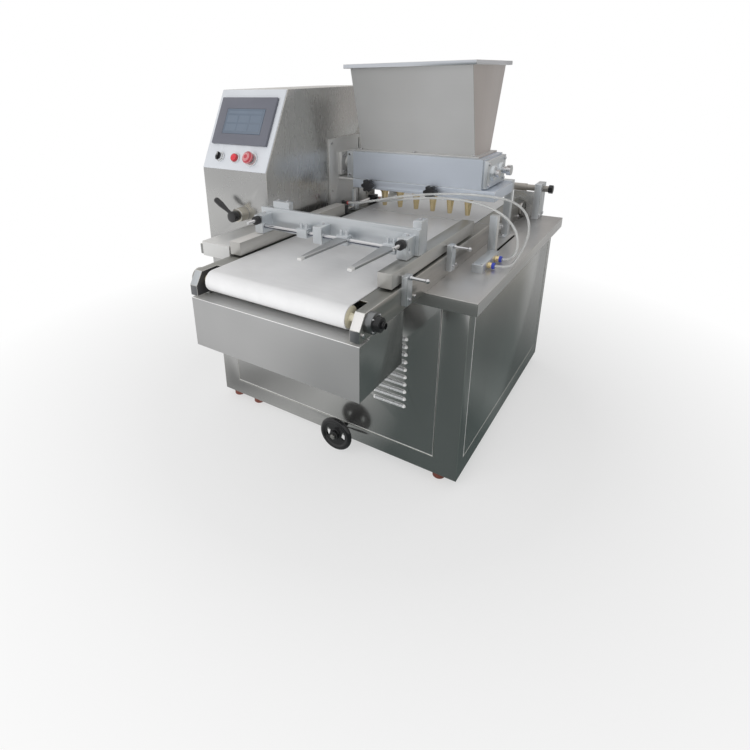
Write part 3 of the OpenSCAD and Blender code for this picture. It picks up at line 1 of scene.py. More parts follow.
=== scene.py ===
"""Finishes, softened edges, air hoses, small fittings and studio of a floor-standing cookie depositor.

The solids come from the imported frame. Each sub-assembly is a class: it takes a merged copy of its
solids, rounds their edges, gives them a finish and adds the small pieces that only the eye needs.
The frame is that of the solids: +X right, +Y back, +Z up. Lengths are in metres, apart from the
places that go through at() or on_slope(), which are in millimetres.
"""

import json
import logging
import math
from contextlib import contextmanager
from dataclasses import dataclass
from enum import Enum
from functools import cache
from typing import Callable, Iterator, Sequence

import bpy
from mathutils import Matrix, Vector
from mathutils.geometry import interpolate_bezier

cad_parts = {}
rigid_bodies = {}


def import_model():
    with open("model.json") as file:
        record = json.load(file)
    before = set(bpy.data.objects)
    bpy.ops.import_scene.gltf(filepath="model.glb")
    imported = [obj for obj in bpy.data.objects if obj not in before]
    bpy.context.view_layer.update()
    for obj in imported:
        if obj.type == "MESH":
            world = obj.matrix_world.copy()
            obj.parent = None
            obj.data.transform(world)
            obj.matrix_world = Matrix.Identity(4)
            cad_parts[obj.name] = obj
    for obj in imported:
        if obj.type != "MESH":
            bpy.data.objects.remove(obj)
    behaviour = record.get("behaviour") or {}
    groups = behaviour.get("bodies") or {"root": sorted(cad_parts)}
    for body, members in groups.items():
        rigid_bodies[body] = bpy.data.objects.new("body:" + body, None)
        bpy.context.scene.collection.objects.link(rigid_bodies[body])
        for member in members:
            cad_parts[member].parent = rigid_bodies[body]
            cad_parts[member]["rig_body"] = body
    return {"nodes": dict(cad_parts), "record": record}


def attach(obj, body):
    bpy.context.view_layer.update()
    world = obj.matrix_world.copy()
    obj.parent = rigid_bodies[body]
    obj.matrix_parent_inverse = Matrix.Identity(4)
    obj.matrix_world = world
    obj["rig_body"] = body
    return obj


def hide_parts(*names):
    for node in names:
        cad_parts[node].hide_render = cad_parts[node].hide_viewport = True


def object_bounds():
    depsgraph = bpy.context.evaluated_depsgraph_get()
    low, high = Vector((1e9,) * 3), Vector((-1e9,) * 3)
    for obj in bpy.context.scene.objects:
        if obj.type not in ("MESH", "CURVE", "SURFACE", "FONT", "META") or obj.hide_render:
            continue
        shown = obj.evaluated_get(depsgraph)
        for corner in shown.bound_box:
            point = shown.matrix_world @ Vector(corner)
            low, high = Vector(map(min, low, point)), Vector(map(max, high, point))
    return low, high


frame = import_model()
CAD_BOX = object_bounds()

MM = 0.001
Colour = tuple[float, float, float]
Point = tuple[float, float, float]
Pair = tuple[float, float]
Stops = tuple[tuple[float, Colour], ...]
FaceTest = Callable[[Vector, Vector], bool]
Socket = bpy.types.NodeSocket

log = logging.getLogger("cookie_depositor")


# Shader groups that several finishes share


class Grain(Enum):
    """Direction of the brush lines on a metal piece, as the stretch of its noise along X, Y and Z."""

    UPRIGHT = (1.0, 1.0, 0.008)
    LEVEL = (0.008, 0.008, 1.0)
    ALONG_X = (0.008, 1.0, 1.0)
    ALONG_Y = (1.0, 0.008, 1.0)
    NONE = (0.25, 0.25, 0.25)


class NodeBoard:
    """A node tree with short calls for placing and wiring its nodes."""

    def __init__(self, tree: bpy.types.NodeTree) -> None:
        """Keeps the tree that the nodes go into."""
        self.tree = tree

    def add(self, kind: str, inputs: dict[str | int, object] | None = None,
            **settings: object) -> bpy.types.Node:
        """Places a node.

        Args:
            kind: the node's type without its ShaderNode prefix.
            inputs: fixed values of its sockets, by socket name or number.
            settings: properties of the node itself.

        Returns:
            The new node.
        """
        prefix = "" if kind.startswith("NodeGroup") else "ShaderNode"
        node = self.tree.nodes.new(prefix + kind)
        for name, value in settings.items():
            setattr(node, name, value)
        for socket, value in (inputs or {}).items():
            node.inputs[socket].default_value = value
        return node

    def wire(self, source: Socket, target: Socket) -> None:
        """Joins an output to an input."""
        self.tree.links.new(source, target)

    def place(self) -> Socket:
        """The place on the piece itself."""
        return self.add("TexCoord").outputs["Object"]

    def math(self, operation: str, first: Socket, second: Socket | float) -> Socket:
        """Places a Math node.

        Args:
            operation: the name of the operation.
            first: the socket that feeds its first input.
            second: a socket or a plain number for its second input.

        Returns:
            The node's output.
        """
        node = self.add("Math", operation=operation)
        self.wire(first, node.inputs[0])
        if isinstance(second, Socket):
            self.wire(second, node.inputs[1])
        else:
            node.inputs[1].default_value = second
        return node.outputs[0]

    def weigh(self, share: float, first: Socket, second: Socket) -> Socket:
        """Takes the weighted mean of two values.

        Args:
            share: weight of the first value. The second has the rest of 1.
            first: one value.
            second: the other value.

        Returns:
            The mean.
        """
        one = self.math("MULTIPLY", first, share)
        other = self.math("MULTIPLY", second, 1.0 - share)
        return self.math("ADD", one, other)

    def spread(self, source: Socket, low: float, high: float,
               to_low: float = 0.0, to_high: float = 1.0) -> Socket:
        """Maps a value from one range to another, clamped.

        Args:
            source: the value.
            low: where the old range starts.
            high: where the old range ends.
            to_low: where the new range starts.
            to_high: where the new range ends.

        Returns:
            The mapped value.
        """
        node = self.add("MapRange", {1: low, 2: high, 3: to_low, 4: to_high})
        self.wire(source, node.inputs[0])
        return node.outputs[0]

    def noise(self, vector: Socket, scale: float, detail: float, roughness: float = 0.55) -> Socket:
        """Places a noise texture.

        Args:
            vector: the place that it is read at.
            scale: its features per metre.
            detail: how many finer layers it has.
            roughness: how strong the finer layers are.

        Returns:
            Its value.
        """
        node = self.add("TexNoise", {"Scale": scale, "Detail": detail, "Roughness": roughness})
        self.wire(vector, node.inputs["Vector"])
        return node.outputs["Fac"]

    def distance(self, place: Socket, middle: Point = (0.0, 0.0, 0.0)) -> Socket:
        """Measures how far a place lies from a fixed point.

        Args:
            place: the place.
            middle: the fixed point.

        Returns:
            The distance.
        """
        node = self.add("VectorMath", {1: middle}, operation="DISTANCE")
        self.wire(place, node.inputs[0])
        return node.outputs["Value"]

    def ramp(self, factor: Socket, stops: Stops) -> Socket:
        """Places a colour ramp.

        Args:
            factor: the value that runs along it.
            stops: place and colour of each stop.

        Returns:
            Its colour.
        """
        node = self.add("ValToRGB")
        points = node.color_ramp.elements
        while len(points) < len(stops):
            points.new(0.5)
        for point, (where, shade) in zip(points, stops):
            point.position = where
            point.color = (*shade, 1.0)
        self.wire(factor, node.inputs[0])
        return node.outputs[0]

    def blend(self, factor: Socket, first: Socket | Colour, second: Socket | Colour) -> Socket:
        """Mixes two colours.

        Args:
            factor: 0 for the first and 1 for the second.
            first: a colour socket or a plain colour.
            second: a colour socket or a plain colour.

        Returns:
            The mixed colour.
        """
        mix = self.add("Mix", data_type="RGBA")
        self.wire(factor, mix.inputs["Factor"])
        for label, value in (("A", first), ("B", second)):
            if isinstance(value, Socket):
                self.wire(value, mix.inputs[label])
            else:
                mix.inputs[label].default_value = (*value, 1.0)
        return next(s for s in mix.outputs if s.type == "RGBA")

    def two_tone(self, factor: Socket, shade: Colour, tone: float) -> Socket:
        """Mixes a darker and a lighter shade of one colour.

        Args:
            factor: 0 for the darker and 1 for the lighter.
            shade: the colour between the two.
            tone: how far each shade lies from it, as a share.

        Returns:
            The mixed colour.
        """
        darker = tuple(c * (1.0 - tone) for c in shade)
        lighter = tuple(min(1.0, c * (1.0 + tone)) for c in shade)
        return self.blend(factor, darker, lighter)

    def mix_shaders(self, factor: Socket, first: Socket, second: Socket) -> Socket:
        """Mixes two shaders.

        Args:
            factor: 0 for the first and 1 for the second.
            first: one shader.
            second: the other shader.

        Returns:
            The mixed shader.
        """
        mix = self.add("MixShader")
        for socket, source in zip(mix.inputs, (factor, first, second)):
            self.wire(source, socket)
        return mix.outputs[0]


class SurfaceGroups:
    """The shader node groups, each built on first use and then shared."""

    def _open(self, name: str, given: str, kind: str, value: object,
              outputs: Sequence[str]) -> tuple[NodeBoard, Socket, bpy.types.NodeInputs]:
        """Starts a group.

        Args:
            name: the group's name.
            given: name of its input.
            kind: socket type of that input.
            value: first value of that input.
            outputs: names of its value outputs.

        Returns:
            The group's board, what its input gives, and the sockets that its outputs are wired to.
        """
        tree = bpy.data.node_groups.new(name, "ShaderNodeTree")
        tree.interface.new_socket(given, in_out="INPUT", socket_type=kind).default_value = value
        for label in outputs:
            tree.interface.new_socket(label, in_out="OUTPUT", socket_type="NodeSocketFloat")
        board = NodeBoard(tree)
        return board, board.add("NodeGroupInput").outputs[given], board.add("NodeGroupOutput").inputs

    @cache
    def brush_lines(self) -> bpy.types.NodeTree:
        """Lines left by a brush or a belt: Line runs from 0 to 1, Height follows it.

        Returns:
            The group.
        """
        board, stretch, out = self._open(
            "brush lines", "Stretch", "NodeSocketVector", (1.0, 1.0, 0.01), ["Line", "Height"])
        drawn = board.add("VectorMath", operation="MULTIPLY")
        board.wire(board.place(), drawn.inputs[0])
        board.wire(stretch, drawn.inputs[1])
        fine = board.noise(drawn.outputs[0], scale=900.0, detail=2.0)
        coarse = board.noise(drawn.outputs[0], scale=130.0, detail=3.0)
        board.wire(board.spread(board.weigh(0.55, fine, coarse), 0.2, 0.8), out["Line"])
        board.wire(fine, out["Height"])
        return board.tree

    @cache
    def handling(self) -> bpy.types.NodeTree:
        """Clouds of wiping and handling: Cloud is broad and soft, Smear is smaller and streaked.

        Returns:
            The group.
        """
        board, scale, out = self._open(
            "handling marks", "Scale", "NodeSocketFloat", 1.0, ["Cloud", "Smear"])
        sized = board.add("VectorMath", operation="SCALE")
        board.wire(board.place(), sized.inputs[0])
        board.wire(scale, sized.inputs["Scale"])
        cloud = board.noise(sized.outputs[0], scale=3.2, detail=2.0)
        leaning = board.add("Mapping", {"Rotation": (0.5, 0.3, 0.7), "Scale": (1.0, 3.5, 1.0)})
        board.wire(sized.outputs[0], leaning.inputs["Vector"])
        smear = board.noise(leaning.outputs[0], scale=9.0, detail=5.0, roughness=0.62)
        board.wire(board.spread(cloud, 0.3, 0.7), out["Cloud"])
        board.wire(board.spread(smear, 0.42, 0.72), out["Smear"])
        return board.tree

    @cache
    def pebble(self) -> bpy.types.NodeTree:
        """The fine pebbled skin of castings, moulded plastic and rubber.

        Returns:
            The group.
        """
        board, scale, out = self._open(
            "pebbled skin", "Scale", "NodeSocketFloat", 700.0, ["Fleck", "Height"])
        place = board.place()
        for kind, inputs, value, label in (("TexVoronoi", {}, "Distance", "Height"),
                                           ("TexNoise", {"Detail": 2.0}, "Fac", "Fleck")):
            texture = board.add(kind, inputs)
            board.wire(place, texture.inputs["Vector"])
            board.wire(scale, texture.inputs["Scale"])
            board.wire(texture.outputs[value], out[label])
        return board.tree

    @cache
    def woven(self) -> bpy.types.NodeTree:
        """A faint crossed weave, as on the cover of a conveyor belt.

        Returns:
            The group.
        """
        board, pitch, out = self._open("belt weave", "Pitch", "NodeSocketFloat", 1200.0, ["Height"])
        place = board.place()
        waves = []
        for direction in ("X", "Y"):
            wave = board.add("TexWave", {"Distortion": 0.6}, bands_direction=direction)
            board.wire(place, wave.inputs["Vector"])
            board.wire(pitch, wave.inputs["Scale"])
            waves.append(wave.outputs["Fac"])
        board.wire(board.math("MULTIPLY", *waves), out["Height"])
        return board.tree


GROUPS = SurfaceGroups()


# Finishes


def new_material(name: str) -> tuple[bpy.types.Material, NodeBoard, bpy.types.Node]:
    """Starts a material with one Principled shader.

    Args:
        name: the finish's name.

    Returns:
        The material, its board and its shader node.
    """
    material = bpy.data.materials.new(name)
    material.use_nodes = True
    board = NodeBoard(material.node_tree)
    shader = next(n for n in material.node_tree.nodes if n.type == "BSDF_PRINCIPLED")
    return material, board, shader


@dataclass(frozen=True)
class Finish:
    """What a surface is made of. A subclass wires the shader in its own way.

    Attributes:
        name: what a maker calls it.
        shade: its mean colour.
        roughness: how blurred its reflections are.
    """

    name: str
    shade: Colour
    roughness: float

    @cache
    def material(self) -> bpy.types.Material:
        """Builds the finish on first use.

        Returns:
            Its material, which is then shared.
        """
        material, board, shader = new_material(self.name)
        self.compose(board, shader)
        return material

    def compose(self, board: NodeBoard, shader: bpy.types.Node) -> None:
        """Wires the shader on its board."""
        raise NotImplementedError(self.name)

    def handled(self, board: NodeBoard, shader: bpy.types.Node, scale: float, clean: float,
                smeared: float) -> bpy.types.NodeOutputs:
        """Places the marks of handling, which also dull the reflections.

        Args:
            board: the material's board.
            shader: its shader.
            scale: how many times finer the marks are than on a large sheet.
            clean: roughness of a clean spot as a share of the finish's own.
            smeared: roughness of a smeared spot as a share of the finish's own.

        Returns:
            The outputs of the marks.
        """
        marks = board.add("Group", node_tree=GROUPS.handling())
        marks.inputs["Scale"].default_value = scale
        low, high = clean * self.roughness, smeared * self.roughness
        board.wire(board.spread(marks.outputs["Smear"], 0.0, 1.0, low, high), shader.inputs["Roughness"])
        return marks.outputs

    def relief(self, board: NodeBoard, shader: bpy.types.Node, height: Socket, strength: float,
               depth: float) -> None:
        """Lets a height show as fine relief.

        Args:
            board: the material's board.
            shader: its shader.
            height: the height, from 0 to 1.
            strength: how much of it shows.
            depth: the depth that 1 stands for.
        """
        bump = board.add("Bump", {"Strength": strength, "Distance": depth})
        board.wire(height, bump.inputs["Height"])
        board.wire(bump.outputs["Normal"], shader.inputs["Normal"])


@dataclass(frozen=True)
class MetalFinish(Finish):
    """Bare metal with brush lines and the marks of wiping and handling.

    Attributes:
        grain: which way the brush went.
        line_tone: strength of the brush lines in the colour.
        cloud_tone: strength of the handling marks in the colour.
        depth: depth of the brush lines.
        metallic: 1 for bare metal, less under a film or an anodised skin.
    """

    grain: Grain = Grain.UPRIGHT
    line_tone: float = 0.014
    cloud_tone: float = 0.06
    depth: float = 0.02 * MM
    metallic: float = 1.0

    def compose(self, board: NodeBoard, shader: bpy.types.Node) -> None:
        """Wires brush lines and handling marks.

        Args:
            board: the material's board.
            shader: its shader.
        """
        lines = board.add("Group", node_tree=GROUPS.brush_lines())
        lines.inputs["Stretch"].default_value = self.grain.value
        marks = self.handled(board, shader, scale=1.0, clean=0.92, smeared=1.1)
        tone = self.line_tone + self.cloud_tone
        factor = board.weigh(self.line_tone / tone, lines.outputs["Line"], marks["Cloud"])
        board.wire(board.two_tone(factor, self.shade, tone), shader.inputs["Base Color"])
        self.relief(board, shader, lines.outputs["Height"], strength=0.05, depth=self.depth)
        shader.inputs["Metallic"].default_value = self.metallic


@dataclass(frozen=True)
class MouldedFinish(Finish):
    """Plastic, rubber or paint with a fine skin, dulled here and there by handling.

    Attributes:
        tone: strength of its colour flecks and marks.
        pebbles: cells of its skin per metre.
        depth: depth of that skin.
        coat: weight of a clear top coat.
    """

    tone: float = 0.12
    pebbles: float = 700.0
    depth: float = 0.06 * MM
    coat: float = 0.0

    def compose(self, board: NodeBoard, shader: bpy.types.Node) -> None:
        """Wires the skin, its flecks and the handling marks.

        Args:
            board: the material's board.
            shader: its shader.
        """
        skin = board.add("Group", node_tree=GROUPS.pebble())
        skin.inputs["Scale"].default_value = self.pebbles
        marks = self.handled(board, shader, scale=3.0, clean=0.85, smeared=1.2)
        factor = board.weigh(0.5, skin.outputs["Fleck"], marks["Cloud"])
        board.wire(board.two_tone(factor, self.shade, self.tone), shader.inputs["Base Color"])
        self.relief(board, shader, skin.outputs["Height"], strength=0.3, depth=self.depth)
        shader.inputs["Coat Weight"].default_value = self.coat


@dataclass(frozen=True)
class BeltFinish(Finish):
    """White belt cover: faint weave, pale scuffs and a slight sheen.

    Attributes:
        tone: strength of the scuffs in the colour.
        depth: depth of the weave.
    """

    tone: float = 0.05
    depth: float = 0.05 * MM

    def compose(self, board: NodeBoard, shader: bpy.types.Node) -> None:
        """Wires the weave and the scuffs.

        Args:
            board: the material's board.
            shader: its shader.
        """
        weave = board.add("Group", node_tree=GROUPS.woven())
        marks = self.handled(board, shader, scale=2.4, clean=0.8, smeared=1.2)
        factor = board.weigh(0.6, marks["Cloud"], marks["Smear"])
        board.wire(board.two_tone(factor, self.shade, self.tone), shader.inputs["Base Color"])
        self.relief(board, shader, weave.outputs["Height"], strength=0.2, depth=self.depth)


@dataclass(frozen=True)
class ClearFinish(Finish):
    """Milky see-through plastic, as of an air hose.

    Attributes:
        clearness: share of light that passes through.
        tone: strength of the handling marks in the colour.
        bending: how strongly it bends light.
    """

    clearness: float
    tone: float = 0.06
    bending: float = 1.45

    def compose(self, board: NodeBoard, shader: bpy.types.Node) -> None:
        """Wires the tint and the handling marks.

        Args:
            board: the material's board.
            shader: its shader.
        """
        marks = self.handled(board, shader, scale=6.0, clean=0.8, smeared=1.3)
        board.wire(board.two_tone(marks["Cloud"], self.shade, self.tone), shader.inputs["Base Color"])
        shader.inputs["Transmission Weight"].default_value = self.clearness
        shader.inputs["IOR"].default_value = self.bending


class Finishes:
    """Every finish of the machine. Most go by the name a maker would use; some are lighter or darker copies
    that paint light or shade on chosen faces.
    """

    SHEET = MetalFinish("brushed stainless sheet", (0.545, 0.545, 0.535), 0.28, metallic=0.95)
    SMOOTH_SHEET = MetalFinish("smooth stainless sheet", (0.545, 0.545, 0.535), 0.19, metallic=0.95)
    SATIN = MetalFinish("satin sheet", (0.67, 0.67, 0.66), 0.34, metallic=0.4)
    TABLE = MetalFinish("brushed table sheet", (0.62, 0.61, 0.60), 0.30, Grain.ALONG_Y, metallic=0.62)
    TUBE = MetalFinish("satin stainless tube", (0.57, 0.56, 0.535), 0.33, Grain.ALONG_Y, metallic=0.68)
    BEAM = MetalFinish("satin beam tube", (0.51, 0.495, 0.47), 0.33, Grain.ALONG_Y, metallic=0.95)
    # Painted shade: a darker copy of the beam finish for the tops of the beams.
    BEAM_TOP_SHADE = MetalFinish("painted shade on beam top", (0.37, 0.37, 0.35), 0.38, Grain.ALONG_Y)
    # Painted reflection: a paler, less metallic copy of the tube finish for the top of the left rail.
    RAIL_TOP_REFLECTION = MetalFinish("painted pale reflection on rail top", (0.74, 0.72, 0.69), 0.36, Grain.ALONG_Y, metallic=0.3)
    # Painted highlight: a near-white copy of the beam finish for the sloped faces of the beams' noses.
    NOSE_HIGHLIGHT = MetalFinish("painted highlight on beam nose", (0.82, 0.80, 0.785), 0.35, Grain.NONE, metallic=0.35)
    # Painted reflection: a dark copy of the beam finish for the front faces of the noses, standing in for a
    # dark floor mirrored in them.
    NOSE_DARK_REFLECTION = MetalFinish("painted dark reflection on beam nose", (0.20, 0.205, 0.215), 0.40, Grain.NONE, metallic=0.8)
    HOPPER = MetalFinish("satin hopper steel", (0.60, 0.60, 0.595), 0.36, Grain.LEVEL, metallic=0.45)
    # Painted reflection: a warmer, darker copy of the hopper steel for its right face, standing in for a
    # warm wall mirrored there.
    HOPPER_SIDE_REFLECTION = MetalFinish("painted warm reflection on hopper side", (0.55, 0.505, 0.485), 0.36, Grain.LEVEL, metallic=0.6)
    RIM = MetalFinish("pale hopper rim", (0.80, 0.83, 0.88), 0.34, Grain.LEVEL)
    # Polished folded edges, also painted far paler than the sheet as a highlight along every rounded edge.
    POLISHED_EDGE_AND_HIGHLIGHT = MetalFinish("folded sheet edge", (0.78, 0.77, 0.74), 0.22, Grain.NONE)
    TRAY = MetalFinish("satin tray front", (0.43, 0.43, 0.43), 0.34, Grain.ALONG_X, metallic=0.5)
    # Painted shade: a darker copy of the table finish for the front faces of the table's lip.
    TABLE_LIP_SHADE = MetalFinish("painted shade on table lip", (0.30, 0.305, 0.295), 0.36, Grain.ALONG_X, metallic=0.72)
    # Painted shade: a darker copy of the tube finish for the top of the right rail.
    TUBE_TOP_SHADE = MetalFinish("painted shade on tube top", (0.42, 0.42, 0.40), 0.36, Grain.ALONG_Y, metallic=0.68)
    # Painted reflection: a dark bluish stripe for the front-down faces of the chrome finger shaft.
    CHROME_DARK_REFLECTION = MetalFinish("painted dark reflection in the chrome", (0.12, 0.13, 0.18), 0.2, Grain.NONE, metallic=0.9)
    # Painted shade: a near-black copy for the inner face of the left beam, beside the belt's end.
    BEAM_INSIDE_SHADE = MetalFinish("painted shade inside the beam", (0.06, 0.06, 0.064), 0.5, Grain.NONE, metallic=0.3)
    FOLD = MetalFinish("pale tray fold", (0.50, 0.50, 0.495), 0.40, Grain.ALONG_X, metallic=0.25)
    # Painted highlight: a near-white copy for folded edges, which then read as bright lines.
    FOLD_HIGHLIGHT = MetalFinish("painted highlight on folded edge", (0.93, 0.93, 0.92), 0.30, Grain.NONE, metallic=0.3)
    # Painted reflection: a paler copy of the panel sheet for the louvre hoods.
    LOUVRE_REFLECTION = MetalFinish("pressed louvre", (0.72, 0.73, 0.74), 0.28, Grain.NONE, metallic=0.55)
    # Painted highlight: a near-white copy for the round ends of the louvres.
    LOUVRE_END_HIGHLIGHT = MetalFinish("painted highlight on louvre end", (0.97, 0.97, 0.96), 0.25, Grain.NONE, metallic=0.1)
    ALLOY = MetalFinish("milled aluminium", (0.69, 0.72, 0.745), 0.36, Grain.ALONG_X, metallic=0.85)
    HEAD = MetalFinish("filmed aluminium", (0.65, 0.70, 0.78), 0.42, Grain.LEVEL, metallic=0.55)
    ALLOY_EDGE = MetalFinish("broken aluminium edge", (0.84, 0.86, 0.87), 0.25, Grain.NONE)
    FINGER = MetalFinish("grey finger alloy", (0.47, 0.48, 0.49), 0.45, Grain.ALONG_Y)
    BOSS = MetalFinish("turned boss", (0.70, 0.66, 0.58), 0.40, Grain.NONE)
    BRIGHT = MetalFinish("ground steel", (0.74, 0.74, 0.75), 0.12, Grain.NONE, cloud_tone=0.04)
    STEEL = MetalFinish("plain steel", (0.50, 0.49, 0.47), 0.32, Grain.NONE)
    SHAFT = MetalFinish("dull shaft steel", (0.43, 0.405, 0.37), 0.48, Grain.ALONG_X)
    HOUSING = MetalFinish("dark cast housing", (0.26, 0.265, 0.27), 0.34, Grain.NONE)
    SWITCH_RING = MetalFinish("satin switch ring", (0.78, 0.79, 0.80), 0.28, Grain.NONE, metallic=0.6)
    BRASS = MetalFinish("turned brass", (0.90, 0.73, 0.42), 0.24, Grain.NONE, metallic=0.85)
    BELT = BeltFinish("white belt cover", (0.80, 0.80, 0.805), 0.42)
    CORE = MouldedFinish("cast roller core", (0.84, 0.79, 0.62), 0.5)
    BEARING = MouldedFinish("blackened casting", (0.013, 0.013, 0.014), 0.28, pebbles=420.0)
    BAKELITE = MouldedFinish("black bakelite", (0.012, 0.012, 0.013), 0.22, coat=0.4)
    BLACK = MouldedFinish("black plastic", (0.018, 0.018, 0.02), 0.4)
    PANEL = MouldedFinish("pale panel plate", (0.66, 0.685, 0.725), 0.38, 0.04)
    SCREEN = MouldedFinish("dark screen bezel", (0.145, 0.15, 0.18), 0.38, 0.08)
    GLASS = MouldedFinish("display glass", (0.115, 0.15, 0.20), 0.16, 0.10, coat=0.6)
    TILE = MouldedFinish("display tile", (0.135, 0.172, 0.225), 0.18, 0.12, coat=0.6)
    BUTTON_RED = MouldedFinish("signal red button", (0.66, 0.03, 0.05), 0.28, 0.1, coat=0.5)
    BUTTON_RIM = MouldedFinish("dark red rim", (0.34, 0.015, 0.025), 0.32, 0.1, coat=0.3)
    STOP_RED = MouldedFinish("stop red mushroom", (0.50, 0.06, 0.08), 0.32, 0.1, coat=0.3)
    STOP_RING = MouldedFinish("pale stop ring", (0.66, 0.33, 0.34), 0.4, 0.1)
    COLLAR_BLUE = MouldedFinish("blue push-in collar", (0.05, 0.08, 0.55), 0.35)
    COLLAR_RED = MouldedFinish("red release ring", (0.55, 0.08, 0.08), 0.4)
    HOSE = ClearFinish("milky air hose", (0.80, 0.81, 0.80), 0.22, 0.45)
    FOOT = MouldedFinish("red-brown foot", (0.20, 0.06, 0.042), 0.5, 0.2)
    TIP = MouldedFinish("white tip", (0.62, 0.62, 0.61), 0.45)
    RUBBER = MouldedFinish("black rubber pad", (0.02, 0.02, 0.02), 0.6)


# Modelling


# Front of the base along Y, in millimetres
BASE_FRONT = -302.0
# Gap between a journal and its bore
RUNNING_GAP = 0.2 * MM
# Corners closer than this, and faces bent by less than this, are joined
WELD_GAP = 0.01 * MM
FLAT_ANGLE = math.radians(0.4)
# How far below the top of a piece a face still belongs to its top
TOP_LAYER = 0.05 * MM
# Least part of a normal along an axis that makes a face square to it
SQUARE_ON = 0.9


def at(x: float, y: float, z: float) -> Point:
    """The place x mm right of the middle, y mm behind the base's front and z mm above the floor."""
    return (x * MM, (y + BASE_FRONT) * MM, z * MM)


def on_circle(middle: Point, radius: float, count: int, start: float) -> list[Point]:
    """Places around a circle that faces right.

    Args:
        middle: its middle, in millimetres as for at().
        radius: its radius in millimetres.
        count: how many places there are.
        start: angle of the first one, in degrees.

    Returns:
        The places in the frame.
    """
    x, y, z = middle
    turns = [math.radians(start + 360.0 / count * step) for step in range(count)]
    return [at(x, y + radius * math.cos(turn), z + radius * math.sin(turn)) for turn in turns]


class Facing(Enum):
    """Which way the top of a small piece points: an axis and the turn about it in degrees."""

    UP = ("Z", 0.0)
    FRONT = ("X", 90.0)
    RIGHT = ("Y", 90.0)
    SLOPE = ("X", 62.35)

    def turn(self) -> Matrix:
        """The turn from upright."""
        axis, angle = self.value
        return Matrix.Rotation(math.radians(angle), 4, axis)


def select_only(obj: bpy.types.Object) -> None:
    """Makes one object the only selected and active one.

    Args:
        obj: the object.
    """
    bpy.ops.object.select_all(action="DESELECT")
    obj.select_set(True)
    bpy.context.view_layer.objects.active = obj


@contextmanager
def editing(obj: bpy.types.Object, everything: bool = True) -> Iterator[None]:
    """Edit mode on one object.

    Args:
        obj: the object to shape.
        everything: True to start with all of it selected.

    Yields:
        Nothing; the object is in edit mode meanwhile.
    """
    select_only(obj)
    bpy.ops.object.mode_set(mode="EDIT")
    bpy.ops.mesh.select_mode(type="FACE")
    if everything:
        bpy.ops.mesh.select_all(action="SELECT")
    yield
    bpy.ops.object.mode_set(mode="OBJECT")


def pick_faces(obj: bpy.types.Object, test: FaceTest) -> None:
    """Selects faces by their place and direction, and nothing else.

    Args:
        obj: the mesh object, in object mode.
        test: says of a face's centre and normal whether it is wanted.
    """
    mesh = obj.data
    for part in (mesh.vertices, mesh.edges, mesh.polygons):
        part.foreach_set("select", [False] * len(part))
    for face in mesh.polygons:
        if test(face.center, face.normal):
            face.select = True


@dataclass(frozen=True)
class Patch:
    """Part of a piece that has a finish of its own.

    Attributes:
        finish: what that part is made of.
        test: says of a face's centre and normal whether it belongs.
    """

    finish: Finish
    test: FaceTest


@dataclass(frozen=True)
class Flange:
    """A folded edge that runs on past the end of its solid.

    Attributes:
        test: says of a face's centre and normal whether the edge runs on from it.
        run: how far it runs on, along Y.
        taper: width of its far end as a share of the near one.
    """

    test: FaceTest
    run: float
    taper: float


@dataclass(frozen=True)
class Dressing:
    """How one solid is softened and finished.

    Attributes:
        node: the solid's name in the frame.
        finish: its main finish.
        edge: width of its rounded edges, 0 for none.
        edge_finish: finish of the rounded edges, or None for the main one.
        steps: segments across a rounded edge.
        patches: parts with another finish.
        limit: least angle between two faces that makes a rounded edge, in degrees.
        trims: parts of the rounded edges with another finish.
        journals: says of a face whether it turns in a bore, where it gets a running gap.
        flange: a folded edge that runs on, if there is one.
        hem: height of a cut through its faces where a patch can end, if there is one.
    """

    node: str
    finish: Finish
    edge: float = 1.0 * MM
    edge_finish: Finish | None = None
    steps: int = 2
    patches: tuple[Patch, ...] = ()
    limit: float = 32.0
    trims: tuple[Patch, ...] = ()
    journals: FaceTest | None = None
    flange: Flange | None = None
    hem: float | None = None


